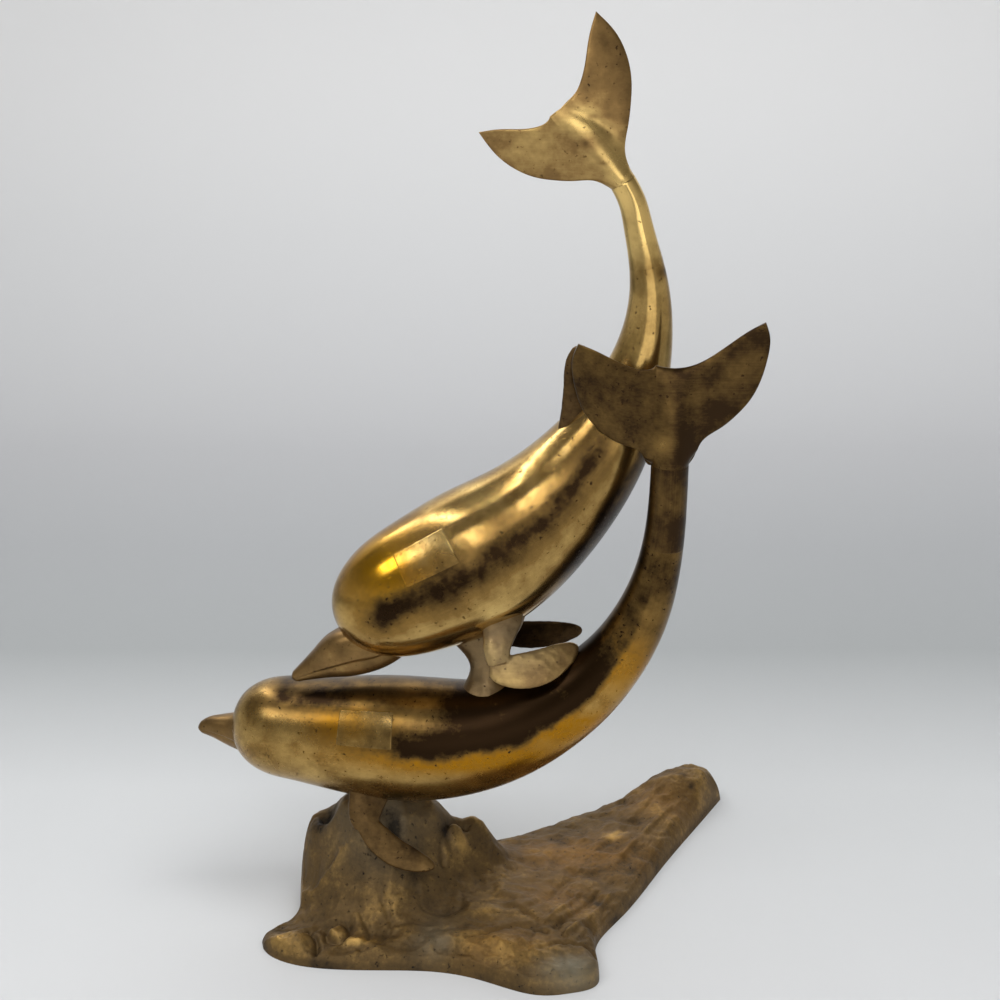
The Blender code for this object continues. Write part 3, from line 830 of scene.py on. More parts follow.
def turns(count: int, start: float = 0.0) -> Array:
    """Space angles evenly round a full turn.

    Args:
        count: number of angles.
        start: the first angle.

    Returns:
        The angles in radians.
    """
    return start + np.linspace(0.0, 2 * np.pi, count, endpoint=False)


# Bars, leaves and lumps


def tube(place: Array, across: Array, chord: Array, depth: Array) -> Shell:
    """Lay a closed section at each point of a line, square to the line.

    Args:
        place: the line's points.
        across: direction of the section's chord.
        chord: distances along the chord, one row a section.
        depth: distances square to the chord, one row a section.

    Returns:
        A capped shell.
    """
    along = unit(np.gradient(place, axis=0))
    across = unit(across - along * (along @ across)[:, None])
    through = np.cross(along, across)
    offset = across[:, None] * chord[..., None] + through[:, None] * depth[..., None]
    return Shell(place[:, None] + offset)


def bar(points: Array, chords: Sequence[float], thicks: Sequence[float], across: Array) -> Shell:
    """Lay a curved bar with oval sections.

    Args:
        points: points of its middle line.
        chords: half chord at each point.
        thicks: half thickness at each point.
        across: direction of the chord.

    Returns:
        A capped shell.
    """
    sections, least_half = 48, 0.3
    knots = arc_knots(points)
    stations = np.linspace(0, knots[-1], sections)
    place = natural_spline(knots, points)(stations)
    halves = natural_spline(knots, np.column_stack([chords, thicks]))(stations)
    halves = np.maximum(halves, least_half)
    angle = turns(40)
    return tube(place, across, halves[:, :1] * np.cos(angle), halves[:, 1:] * np.sin(angle))


def leaf(points: Array, width: float, thickness: float, across: Array, heel: float) -> Shell:
    """Lay a leaf: along its line the width follows an arch, and each section is a flat oval.

    Args:
        points: points of its middle line, heel first.
        width: full width.
        thickness: full thickness.
        across: direction of the width.
        heel: 1 for an even arch, less for a broader heel and a slimmer tip.

    Returns:
        A capped shell.
    """
    flatness, blunt_edge = 0.45, 0.35
    shares = dense_at_ends(70, 0.02)
    place = spread(points, shares)
    outline = np.sqrt(np.clip(1 - (2 * shares**heel - 1) ** 2, 0, 1))[:, None]
    angle = turns(56)
    flat = np.sign(np.sin(angle)) * np.abs(np.sin(angle)) ** flatness
    chord = outline * width / 2 * np.cos(angle)
    return tube(place, across, chord, outline**blunt_edge * thickness / 2 * flat)


def lump(centre: Array, size: Point) -> Shell:
    """Lay an egg-shaped lump.

    Args:
        centre: its middle.
        size: its half lengths along x, y and z.

    Returns:
        A capped shell.
    """
    polar = np.linspace(0.04, np.pi - 0.04, 20)[:, None]
    angle = turns(32)[None]
    ring = [np.sin(polar) * np.cos(angle), -np.sin(polar) * np.sin(angle)]
    ring = np.dstack([*ring, np.cos(polar) + 0 * angle])
    return Shell(centre + ring * np.array(size))


# Dolphins


@dataclass
class FlukeShape:
    """A fluke's outline and bends.

    Attributes:
        leading: span and distance from the stock along half of the leading edge.
        trailing: the same along the trailing edge.
        lobes: for the left and right lobe, how far it bends away, how far back, and its reach.
        lean: degrees that it leans to the left in its own plane.
        thickness: thickness of the blade.
        ridge: how much of the stock's thickness is left at the trailing edge.
    """

    leading: Sequence[tuple[float, float]]
    trailing: Sequence[tuple[float, float]]
    lobes: Sequence[Point]
    lean: float
    thickness: float
    ridge: float


@dataclass
class Dolphin:
    """One dolphin, with the sizes of its castings.

    Attributes:
        name: "lower" or "upper", the start of its pieces' names.
        rows: its centre line.
        origin: the rows' origin.
        head_round: length of the rounded head.
        fluke: the fluke's shape.
        beak_rows: the beak's line in the head's own directions.
        cover: station and angle of the core hole cover.
        cover_size: length and height of the core hole cover.
        stock: length of the tail stock.
        line: the centre line as a curve.
    """

    name: str
    rows: Rows
    origin: Point
    head_round: float
    fluke: FlukeShape
    beak_rows: Rows
    cover: tuple[float, float]
    cover_size: tuple[float, float] = (30.0, 20.0)
    stock: float = 46.0
    line: CentreLine = field(init=False)

    def __post_init__(self) -> None:
        """Run the centre line, with a head a little blunter than an ellipse."""
        self.line = CentreLine(self.rows, np.array(self.origin), self.head_round, power=2.3)

    @property
    def joint(self) -> float:
        """Station where the body ends and the stock starts."""
        return self.line.length - self.stock

    def unevenness(self, shell: Shell) -> Array:
        """Hand-worked waves of the metal: broad and shallow, with finer ones on top.

        Args:
            shell: the skin.

        Returns:
            A height for each point.
        """
        below_skin = 0.06
        broad = 0.10 * NOISE.read(shell.straight, 26.0)
        fine = 0.025 * NOISE.layered(shell.straight, 8.0, 2)
        return broad + fine - below_skin

    def body(self, paint: Paint) -> None:
        """Make the body: the uneven skin, and a turned-in rim at its open end.

        Args:
            paint: its finish and tone.
        """
        rim_share = 0.25
        stations = self.line.head_stations(self.joint, 300)
        shell = self.line.skin(stations, turns(190, -np.pi / 2))
        shell = shell.pushed(self.unevenness(shell))
        edge = shell.points[-1:]
        inner = edge * (1 - rim_share) + edge.mean(axis=1, keepdims=True) * rim_share
        straight = np.repeat(shell.straight[-1:], 2, axis=0)
        rim = Shell(np.concatenate([edge, inner]), capped=False, straight=straight)
        shell.last_capped = False
        place_piece(self.name + "_body_casting", [shell, rim], paint, self.name + "_body")

    def tail_stock(self, paint: Paint) -> None:
        """Make the solid stock that carries the skin on to the fluke.

        Both ends shrink to plugs: into the body, and over the last millimetres into the fluke.

        Args:
            paint: its finish and tone.
        """
        body_plug, fluke_plug = 0.4, 0.6
        end = self.line.length + 1.5
        seam = self.joint + np.array([-2.5, -0.06, 0.0, 0.12])
        stations = np.concatenate([seam, np.linspace(self.joint + 0.6, end, 90)])
        shell = self.line.skin(stations, turns(120, -np.pi / 2))
        plug = np.where(stations < self.joint, body_plug, 0.0)
        plug = plug + fluke_plug * ease(stations, self.line.length - 0.3, end)
        shell = shell.pushed(self.unevenness(shell) - plug[:, None])
        place_piece(self.name + "_tail_casting", [shell], paint, self.name + "_tail_stock")

    def core_cover(self, paint: Paint) -> None:
        """Make the patch: a raised rounded rectangle of the skin whose edge dips under it.

        Args:
            paint: its finish and tone.
        """
        length, height = self.cover_size
        lift, sunk, uneven = 0.06, -0.16, 0.06
        corner = 0.985
        station, angle = self.cover
        radius = self.line.halves(station)[0].mean()
        edge = np.array([1.012, 1.02])
        side = np.concatenate([-edge[::-1], np.linspace(-1, 1, 50), edge])
        angles = np.radians(angle) + side * height / 2 / radius
        shell = self.line.skin(station + side * length / 2, angles)
        shell = Shell(shell.points, wrap=False, capped=False, straight=shell.straight)
        along, across = np.meshgrid(np.abs(side), np.abs(side), indexing="ij")
        lifted = (np.maximum(along, across) <= 1.001) & (along * across <= corner)
        rise = self.unevenness(shell) + np.where(lifted, lift, sunk)
        rise += uneven * NOISE.read(shell.points, 5.0) * lifted
        patch = [shell.pushed(rise)]
        place_piece(self.name + "_core_patch", patch, paint, self.name + "_core_cover")

    def beak(self, paint: Paint, power: float) -> None:
        """Make the beak: blunt ovals from the tip into the head, with a mouth line on both sides.

        The section is a superellipse. The mouth line is a narrow groove at a fixed height below
        the middle, and the lower jaw under it is a little slimmer.

        Args:
            paint: its finish and tone.
            power: 2 for oval sections, more for squarer ones.
        """
        mouth_depth, mouth_level, mouth_width = 0.9, -0.2, 0.07
        slimmer_jaw = 0.10
        rows = np.asarray(self.beak_rows, float)
        points = self.line.local(0.0, rows[:, :3])
        line = CentreLine(np.hstack([points, rows[:, 3:]]), np.zeros(3), 3.0, 2.0)
        stations = line.head_stations(line.length, 150)
        angles = turns(180, -np.pi / 2)
        cosine, sine = np.cos(angles), np.sin(angles)
        blunt = (np.abs(cosine) ** power + np.abs(sine) ** power) ** (-1 / power)
        place, _, side, up = line.frame(stations)
        half = line.halves(stations)
        upward = half[:, 0:1] * sine * blunt
        level = upward / np.maximum(half[:, 0:1], 0.1)
        across = half[:, 1:2] * cosine * blunt * (1 - slimmer_jaw * ease(-level, 0.18, 0.30))
        points = place[:, None] + side[:, None] * across[..., None]
        points += up[:, None] * upward[..., None]
        mouth = np.exp(-(((level - mouth_level) / mouth_width) ** 2))
        reach = 1 - ease(stations, line.length * 0.5, line.length * 0.72)
        reach *= ease(stations, 0.5, 4.0)
        rise = 0.12 * NOISE.read(points, 7.0) - 0.05 - mouth_depth * mouth * reach[:, None]
        beak = [Shell(points).pushed(rise)]
        place_piece(self.name + "_beak_casting", beak, paint, self.name + "_beak")

    def pectoral(
        self,
        side: str,
        station: float,
        stem: Sequence[Point],
        blade: Sequence[Point],
        width: float,
        stem_halves: Sequence[float],
        paint: Paint,
    ) -> None:
        """Make a pectoral fin: a stem that flares where it leaves the body, melted to a leaf.

        Args:
            side: "near" or "far".
            station: where it leaves the body.
            stem: the stem's points from that station.
            blade: the leaf's points from that station.
            width: the leaf's width.
            stem_halves: half width of the stem at each of its points.
            paint: its finish and tone.
        """
        blade_thickness, heel = 3.2, 0.85
        stem_points = self.line.local(station, stem)
        blade_points = self.line.local(station, blade)
        chordwise = unit(blade_points[-1] - blade_points[0])
        thicks = np.linspace(0.3, 0.42, len(stem)) * np.array(stem_halves)
        down = stem_points[0] - stem_points[-1]
        shells = [
            bar(stem_points, stem_halves, thicks, chordwise),
            leaf(blade_points, width, blade_thickness, down, heel),
        ]
        name = f"{self.name}_{side}_pectoral"
        place_piece(name, shells, paint, name + "_fin", (0.55, 16))

    def back_fin(self, station: float, rows: Rows, paint: Paint) -> None:
        """Make a back fin.

        Args:
            station: where it stands.
            rows: points from that station, with half chord and half thickness at each.
            paint: its finish and tone.
        """
        rows = np.array(rows, float)
        points = self.line.local(station, rows[:, :3])
        along = self.line.frame(station)[1][0]
        fin = [bar(points, rows[:, 3], rows[:, 4], along)]
        place_piece(self.name + "_back_fin", fin, paint, self.name + "_dorsal_fin", (0.55, 5))

    def fluke_edges(self, radius: float, sink: float) -> tuple[Array, Array]:
        """Lay the leading and the trailing edge of half the fluke, from its middle outward.

        Args:
            radius: the stock's radius.
            sink: how deep the fluke starts inside the stock.

        Returns:
            Span and distance from the stock along each edge, point for point.
        """
        root, root_share = 16, 0.1
        inner = radius - 0.3
        lobe = dense_at_ends(110)
        leading = spread([(inner, -sink), *self.fluke.leading], lobe)
        spans = inner * np.sin(np.linspace(0, np.pi / 2, root + 1))[:-1]
        leading = np.vstack([np.column_stack([spans, np.full(root, -sink)]), leading])
        shares = np.linspace(0, root_share, root + 1)[:-1]
        shares = np.concatenate([shares, root_share + (1 - root_share) * lobe])
        start = (0, self.fluke.trailing[0][1] - 0.5)
        return leading, spread([start, *self.fluke.trailing], shares)

    def tail_fluke(self, paint: Paint, grooves: Sequence[Sequence[Point]] = ()) -> None:
        """Make the fluke: a plate with rounded edges joined to a ridge that carries on the stock.

        Each point lies between the leading and the trailing edge. Its height off the middle plane
        is the root of the sum of the squares of the ridge's and the plate's heights. The ridge is
        half round at the stock and falls off as a bell curve further out.

        Args:
            paint: its finish and tone.
            grooves: chains of points that sink into the near face.
        """
        groove_depth, groove_width = 0.45, 2.8
        thinner_tip, thin_at_stock = 0.25, 0.2
        ridge_flare, ridge_fade, bell = 0.8, 16.0, 1.8
        uneven, uneven_mm = 0.16, 14.0
        shape = self.fluke
        end = self.line.length
        radius = float(self.line.halves(end)[0].mean())
        lean = np.radians(shape.lean)
        sink = radius * np.sin(lean) + 0.3
        lead, trail = self.fluke_edges(radius, sink)

        rows = dense_at_ends(90)
        half = lead[:, None] * (1 - rows[None, :, None]) + trail[:, None] * rows[None, :, None]
        span = np.concatenate([-half[:0:-1, :, 0], half[:, :, 0]])
        chord = np.concatenate([half[:0:-1, :, 1], half[:, :, 1]])
        outward = np.linspace(0, 1, len(lead))
        outward = np.concatenate([outward[:0:-1], outward])[:, None]
        plate = np.clip(1 - np.abs(2 * rows - 1) ** 5, 0, 1)[None] ** 0.35
        tip_fade = np.sqrt(np.clip(1 - outward**14, 0, 1)) * (1 - thinner_tip * outward)
        from_stock = ease(chord, -sink, 3.0)
        blade = shape.thickness / 2 * plate * tip_fade
        blade = blade * (thin_at_stock + (1 - thin_at_stock) * from_stock)
        down_ridge = np.clip(chord / trail[0, 1], 0, 1) ** 1.1
        ridge = radius * (1 - (1 - shape.ridge) * down_ridge) - 0.3 * (1 - from_stock)
        softened = ease(chord, 0.0, ridge_fade)
        from_ridge = (span / (radius * (1 + ridge_flare * softened))) ** 2
        ridge *= (
            np.sqrt(np.clip(1 - from_ridge, 0, 1)) * (1 - softened)
            + np.exp(-bell * from_ridge) * softened
        )
        height = np.hypot(ridge * np.sqrt(1 - rows[None] ** 6), blade)

        place, along, _, up = (value[0] for value in self.line.frame(end))
        normal = np.cross(-up, along)
        along, across = (
            along * np.cos(lean) + up * np.sin(lean),
            along * np.sin(lean) - up * np.cos(lean),
        )
        widest = np.abs(span).max()
        lobe = np.clip((np.abs(span) - radius) / (widest - radius), 0, 1)
        bends = np.where(span[..., None] < 0, *np.array(shape.lobes, float))
        away, back, reach = bends.transpose(2, 0, 1)
        span = span + np.sign(span) * lobe * (reach - 1) * widest
        chord = chord - back * lobe**0.6
        middle = place + across * span[..., None] + along * chord[..., None]
        middle -= normal * (away * lobe**1.5)[..., None]
        waves = uneven * NOISE.layered(middle, uneven_mm, 2)
        dip = np.zeros_like(height)
        for groove in grooves:
            apart = chain_distance(middle[..., [0, 2]], np.array(groove)[:, [0, 2]])
            dip += groove_depth * np.exp(-((apart / groove_width) ** 2))
        front = middle + normal * (height + (waves - dip) * plate)[..., None]
        rear = middle - normal * (height - waves * plate)[..., None]
        ring = np.concatenate([front, rear[:, -2:0:-1]], axis=1)
        place_piece(self.name + "_fluke_casting", [Shell(ring[::-1])], paint, self.name + "_fluke")


# Rock base


@dataclass
class Hump:
    """A rise of the rock.

    Attributes:
        x: its middle.
        y: its middle.
        top: height above the floor of a broad hump, or what a detail adds to the rock.
        length: half length.
        width: half width.
        turn: degrees that its length is turned from x.
        steepness: 2 for a soft hump, more for a flat one with steep sides.
    """

    x: float
    y: float
    top: float
    length: float
    width: float
    turn: float
    steepness: float

    def share(self, plan: Array) -> Array:
        """Weigh the hump at places seen from above.

        Args:
            plan: x and y of the places.

        Returns:
            One at its middle, falling to zero.
        """
        cosine, sine = np.cos(np.radians(self.turn)), np.sin(np.radians(self.turn))
        apart = plan - (self.x, self.y)
        along = (apart[..., 0] * cosine + apart[..., 1] * sine) / self.length
        across = (apart[..., 1] * cosine - apart[..., 0] * sine) / self.width
        return np.exp(-((along**2 + across**2) ** (self.steepness / 2)))


@dataclass
class Line:
    """A crack or a ridge of the rock along a chain of points.

    Attributes:
        chain: x and y of its corners.
        rise: its height, below zero for a crack.
        width: its half width.
    """

    chain: Sequence[tuple[float, float]]
    rise: float
    width: float


@dataclass
class RockBase:
    """The hollow rock: its foot on the floor, its crest, and what stands on it.

    Attributes:
        front_rows: x and y along the front foot, from the left end to the right end.
        back_rows: the same along the back foot.
        crest_rows: heights of the crest over the foot's edge, from end to end.
        humps: broad rises.
        details: small rises and pits on the broad form.
        lines: cracks and ridges.
        edge: height of the foot's edge.
        wall: thickness of the wall at the foot.
        roof: thickness of the wall above.
        front: the front foot as a curve.
        back: the back foot as a curve.
        crest: the crest's height as a curve.
    """

    front_rows: Rows
    back_rows: Rows
    crest_rows: Sequence[float]
    humps: Sequence[Hump]
    details: Sequence[Hump]
    lines: Sequence[Line]
    edge: float = 4.5
    wall: float = 4.0
    roof: float = 5.0
    front: Callable[[Array], Array] = field(init=False)
    back: Callable[[Array], Array] = field(init=False)
    crest: Callable[[Array], Array] = field(init=False)

    def __post_init__(self) -> None:
        """Run curves through the rows."""
        self.front, self.back, self.crest = (
            natural_spline(np.linspace(0, 1, len(rows)), rows)
            for rows in (self.front_rows, self.back_rows, self.crest_rows)
        )

    def width(self, along: Array) -> Array:
        """Measure from the front to the back foot at each share from the left to the right end."""
        return np.linalg.norm(self.back(along) - self.front(along), axis=1)

    def plan(self, across: Array, along: Array) -> Array:
        """Give x and y of a grid, by shares from front to back and, a row each, from end to end."""
        share = across[..., None]
        return self.front(along)[:, None] * (1 - share) + self.back(along)[:, None] * share

    def height(self, plan: Array, across: Array, along: Array) -> Array:
        """Work out the broad form: a crest along the middle, with humps that rise out of it.

        Args:
            plan: x and y of each point.
            across: shares from front to back.
            along: shares from end to end, one a row.

        Returns:
            Height of each point above the floor.
        """
        from_crest = np.abs(2 * across - 1)
        arch = np.sqrt(np.clip(1 - from_crest**2.4, 0, 1))
        height = self.edge + self.crest(along) * arch
        inland = np.clip((1 - from_crest) * 6, 0, 1) ** 0.5
        for hump in self.humps:
            height = height + np.clip(hump.top - height, 0, None) * inland * hump.share(plan)
        return height

    def roughness(self, places: Array) -> Array:
        """Work out the casting's roughness: broad dents, chips, small bumps and narrow creases.

        Args:
            places: the places.

        Returns:
            A height for each place.
        """
        dents = 1.2 * NOISE.layered(places, 16.0, 2)
        bumps = 0.5 * NOISE.layered(places, 5.0) + 0.2 * NOISE.layered(places, 2.2, 2)
        chips = 0.9 * (0.5 - 2 * np.abs(NOISE.read(places + 17.0, 9.0)))
        creases = np.exp(-((NOISE.read(places + 40.0, 19.0) / 0.09) ** 2))
        creases *= ease(NOISE.read(places, 33.0), -0.2, 0.3)
        return dents + bumps + chips - 1.1 * creases

    def relief(self, plan: Array) -> Array:
        """Add up the details and lines at places seen from above.

        Args:
            plan: x and y of each place.

        Returns:
            Their height at each place.
        """
        rise = sum(detail.top * detail.share(plan) for detail in self.details)
        for line in self.lines:
            rise += line.rise * np.exp(-((chain_distance(plan, line.chain) / line.width) ** 2))
        return rise

    def outer(self) -> Shell:
        """Lay the outside: the broad form, then details, casting roughness and a rounded foot.

        Returns:
            An open shell.
        """
        columns, rows = 380, 230
        plain_foot, least_height = 7.0, 1.0
        along = 0.55 * dense_at_ends(columns) + 0.45 * np.linspace(0, 1, columns)
        across = np.tile(dense_at_ends(rows), (columns, 1))
        plan = self.plan(across, along)
        height = self.height(plan, across, along)
        travel = arc_knots(plan[:, rows // 2])
        to_side = np.minimum(across, 1 - across) * self.width(along)[:, None]
        to_end = np.minimum(travel, travel[-1] - travel)[:, None]
        to_foot = np.minimum(to_side, to_end)
        inland = ease(to_foot, 0.0, plain_foot)
        height = height + self.relief(plan) * inland
        height = height + inland * self.roughness(np.dstack([plan, height]))
        # The arm's foot is rounder than the front's
        rounding = self.edge + 7.0 * ease(plan[..., 0] + 0.3 * plan[..., 1], 60.0, 120.0)
        rounded = np.sqrt(1 - (1 - np.clip(to_foot / rounding, 0, 1)) ** 2)
        height = np.maximum(height, least_height) * rounded
        return Shell(np.dstack([plan, height]), wrap=False, capped=False)

    def underside(self) -> Shell:
        """Lay the hollow side, a wall's thickness inside the foot and under the broad form.

        Returns:
            An open shell that faces down.
        """
        columns, rows = 110, 60
        lowest, highest = 2.5, 34.0
        along = dense_at_ends(columns)
        across = np.tile(dense_at_ends(rows), (columns, 1))
        travel = arc_knots(self.plan(across, along)[:, rows // 2])
        first, last = np.interp([self.wall, travel[-1] - self.wall], travel, along)
        along = first + along * (last - first)
        width = self.width(along)[:, None]
        margin = np.minimum(self.wall / width, 0.4)
        across = across * (1 - 2 * margin) + margin
        plan = self.plan(across, along)
        ceiling = np.clip(self.height(plan, across, along) - self.roof, lowest, highest)
        to_side = np.minimum(across, 1 - across) * width - self.wall
        to_end = np.minimum(along - first, last - along)[:, None] / (last - first) * travel[-1]
        ceiling = ceiling * ease(np.minimum(to_side, to_end), 0.0, 3.0)
        points = np.dstack([plan, ceiling])
        points[..., 2] += 0.3 * NOISE.read(points, 6.0) * (ceiling > 2.0)
        return Shell(points[::-1], wrap=False, capped=False)

    def rim(self) -> Shell:
        """Lay the flat rim on the floor between the outer and the inner foot.

        Returns:
            An open shell that faces down.
        """
        share = np.linspace(0, 1, 200)
        front, back = self.front(share), self.back(share)
        loop = np.vstack([front, back[::-1], front[:1]])
        middle = (front + back) / 2
        inward = unit(np.vstack([middle, middle[::-1], middle[:1]]) - loop)
        level = np.full((len(loop), 1), 0.02)
        strip = [np.hstack([loop + inward * inset, level]) for inset in (5.0, 0.6)]
        return Shell(np.stack(strip), wrap=False, capped=False)

    def make(self, paint: Paint) -> None:
        """Make the base from its outside, its hollow side and the rim between them."""
        shells = [self.outer(), self.underside(), self.rim()]
        place_piece("rock_casting", shells, paint, "base_casting")


@dataclass
class Supports:
    """The lower dolphin's back fin, which carries the upper one, and its lump of braze.

    Attributes:
        foot: station on the lower dolphin, and the foot's place from there.
        top: station on the upper dolphin towards which the post rises.
        post: share of the way up, half chord and half thickness, along the post.
        braze: station and angle of the braze on the upper dolphin's skin.
        lumps: offset and half lengths of each lump of braze.
    """

    foot: tuple[float, Point]
    top: float
    post: Rows
    braze: tuple[float, float]
    lumps: Sequence[tuple[Point, Point]]

    def make_post(self, lower: CentreLine, upper: CentreLine, paint: Paint) -> None:
        """Make the post.

        Args:
            lower: the lower dolphin's centre line.
            upper: the upper dolphin's centre line.
            paint: its finish and tone.
        """
        station, offset = self.foot
        foot = lower.local(station, [offset])[0]
        top = upper.frame(self.top)[0][0]
        shares, chords, thicks = np.array(self.post, float).T
        points = foot * (1 - shares[:, None]) + top * shares[:, None]
        post = bar(points, chords, thicks, np.array([1.0, 0.0, 0.0]))
        place_piece("lower_back_fin", [post], paint, "lower_dorsal_fin", (0.6, 16))

    def make_braze(self, upper: CentreLine, paint: Paint) -> None:
        """Make the braze.

        Args:
            upper: the upper dolphin's centre line.
            paint: its finish and tone.
        """
        place, outward = upper.surface(*self.braze)
        blob = [lump(place + outward + np.array(offset), size) for offset, size in self.lumps]
        place_piece("braze_blob", blob, paint, "dorsal_fin_braze", (0.4, 4))


# The sculpture


LOWER = Dolphin(
    name="lower",
    rows=[
        (-138, 0, 40, 28.5, 27),
        (-103, -7, 38.5, 29.5, 29),
        (-48, -16, 36.5, 35.5, 33),
        (9, -22, 42.5, 30.5, 29),
        (59, -28, 71, 21, 20),
        (89, -34, 114, 15, 14),
        (100.5, -40, 162, 10.8, 10.5),
        (102, -45, 205, 9.8, 9.5),
    ],
    origin=(1.0, -6.0, 67.0),
    head_round=34.0,
    fluke=FlukeShape(
        leading=[
            (12, 4), (15, 12.5), (24, 19.5), (32, 26.5), (39.5, 36), (44.2, 47), (46.6, 58),
            (47, 69), (44.5, 76.5),
        ],
        trailing=[(5, 52.8), (12, 55), (21, 60.5), (30.3, 67.6), (38, 73), (44.5, 76.5)],
        lobes=((20, 18, 1.08), (0, 0, 1.0)),
        lean=0.0,
        thickness=3.6,
        ridge=0.25,
    ),
    beak_rows=[
        (-23.6, -2.3, -9.4, 2.4, 3),
        (-18.6, -2.8, -8.2, 5, 4.5),
        (-11.5, -2.8, -7.4, 7.3, 7),
        (-2.3, -2.6, -7.6, 10, 9.5),
        (10.3, -1.1, -6.6, 14, 13),
        (24.7, 0.1, -4, 17, 17),
    ],
    cover=(83.0, 30.0),
)

UPPER = Dolphin(
    name="upper",
    rows=[
        (-73.5, 0, 32.5, 32, 28),
        (-37.5, 2, 53.5, 36.5, 33),
        (-0.5, 6, 70.5, 41, 36.5),
        (36.5, 10, 96.5, 35, 32),
        (67.5, 12, 133, 26.5, 25),
        (88, 12, 179, 16.5, 16),
        (91.5, 11, 220, 10.3, 10.3),
        (84.5, 9, 253, 7.6, 7.6),
        (81.4, 8.3, 264, 7.1, 7.1),
        (76, 7, 274.5, 6.8, 6.8),
    ],
    origin=(1.4, -28.0, 138.8),
    head_round=46.0,
    fluke=FlukeShape(
        leading=[
            (7.5, 4), (10.5, 11), (19, 19), (27, 26.5), (34.5, 35), (40, 45), (43, 58), (42, 72),
        ],
        trailing=[(5, 49.5), (10, 49.9), (15, 52), (23, 57.7), (32, 65.5), (42, 72)],
        lobes=((8, 6, 0.93), (8, 0, 1.03)),
        lean=11.0,
        thickness=3.4,
        ridge=0.3,
    ),
    beak_rows=[
        (-40.5, -5.3, -10.5, 2.4, 3),
        (-31, -4.5, -11, 5.6, 5),
        (-20.5, -3.7, -11.6, 9.4, 8),
        (-11.4, -2.4, -12, 12.6, 11),
        (4.6, -0.8, -15, 14.5, 14),
        (20.4, -1.3, -17, 13.5, 16),
        (34, -1.5, -14, 10, 14),
    ],
    cover=(62.0, 34.0),
)

ROCK = RockBase(
    front_rows=[
        (-116, -74), (-109, -83), (-89, -92), (-56, -95), (-24, -96), (4, -104), (31, -117),
        (53, -116), (68, -105), (68, -74), (87, -38), (113, 13), (138, 60), (152, 86), (160, 101),
    ],
    back_rows=[
        (-117.5, -68), (-109, -56), (-100, -42), (-102, -14), (-92, 10), (-67, 26), (-35, 32),
        (-3, 34), (25, 42), (51, 60), (77, 80), (100, 98), (122, 111), (140, 118), (155, 115),
    ],
    crest_rows=[2, 4, 11, 13, 8, 11, 14],
    humps=[
        Hump(-85, -10, 44, 19, 22, 20, 5.0),
        Hump(-6, -10, 42, 22, 15, 25, 2.4),
        Hump(-25, -15, 50, 13, 14, 0, 2.4),
        Hump(55, -104, 13, 16, 12, 0, 2.0),
        Hump(129, 92, 25, 27, 17, 42, 2.4),
        Hump(-53, -22, 73, 34, 30, 15, 3.0),
    ],
    details=[
        Hump(-101, -80, 4.6, 12, 8.5, -8, 3.5),
        Hump(-74.5, -74, 3.6, 5.5, 5.0, 0, 5.0),
        Hump(-62, -82, 1.8, 8, 3.5, -10, 2.5),
        Hump(-46, -84, 2.2, 9, 5, 25, 3.0),
        Hump(-34, -78, 1.8, 7, 6, -20, 3.0),
        Hump(-9.5, -23, 5.0, 5.2, 5.0, 20, 4.6),
        Hump(2, -6, 4.0, 7, 5, 0, 3.0),
        Hump(-44, -62, 2.6, 14, 9, 10, 2.0),
        Hump(14, -90, 2.2, 22, 7, -15, 3.0),
        Hump(-12, -84, 1.8, 12, 5, 10, 3.0),
        Hump(-97, -30, 3.0, 6, 12, 0, 3.0),
        Hump(-84, -17, -9.0, 5.0, 8.0, 20, 2.4),
        Hump(-46, -39, -8.0, 4.5, 6.0, -15, 2.4),
        Hump(24, -58, 1.6, 16, 9, 30, 2.5),
        Hump(92, 30, 1.4, 22, 9, 40, 2.5),
        Hump(112, 60, 1.8, 12, 8, 35, 2.5),
    ],
    lines=[
        Line([(-87, -94), (-84.5, -86), (-86, -78), (-91, -70)], -3.4, 1.5),
        Line([(-60, -47), (-68, -43), (-81, -43), (-92, -44), (-98, -40)], 3.0, 2.0),
        Line([(-18, -35), (-19, -28), (-16, -21), (-10, -15), (-5, -14)], -4.5, 1.9),
        Line([(-81, -71), (-80, -79), (-72.5, -81.5), (-67.5, -76), (-69, -68)], -1.8, 1.2),
        Line([(40, -72), (52, -56), (60, -38)], 1.5, 1.5),
        Line([(46, -76), (60, -56), (72, -34)], -1.7, 1.6),
        Line([(51, -82), (66, -60), (79, -34)], 1.7, 1.5),
        Line([(58, -86), (72, -62), (84, -42)], -1.3, 1.4),
        Line([(28, -66), (44, -46), (60, -16)], -1.2, 2.2),
        Line([(8, -84), (24, -76), (40, -82)], -1.4, 1.6),
        Line([(-52, -56), (-45, -70), (-50, -84)], -1.8, 1.8),
        Line([(-64, -60), (-56, -76), (-60, -88)], -1.2, 1.6),
        Line([(88, 8), (108, 40), (126, 66)], 1.3, 2.2),
        Line([(76, 12), (96, 44), (118, 76)], -1.0, 2.4),
        Line([(36, -96), (47, -90), (62, -90), (70, -98)], -1.3, 1.4),
        Line([(-60, -54), (-64, -44), (-60, -30)], 2.4, 3.2),
        Line([(-46, -50), (-49, -40), (-46, -26)], 2.2, 3.0),
    ],
)

SUPPORTS = Supports(
    foot=(149.0, (3.0, 2.0, 9.0)),
    top=84.0,
    post=[
        (0.0, 24, 16),
        (0.17, 18, 12),
        (0.26, 11.5, 8),
        (0.37, 9.5, 6.5),
        (0.54, 20, 10),
        (0.85, 27, 14),
    ],
    braze=(82.0, -58.0),
    lumps=[((0, 0, 0), (5.0, 4.2, 4.4)), ((-5, 1, -3), (4, 3.5, 3))],
)


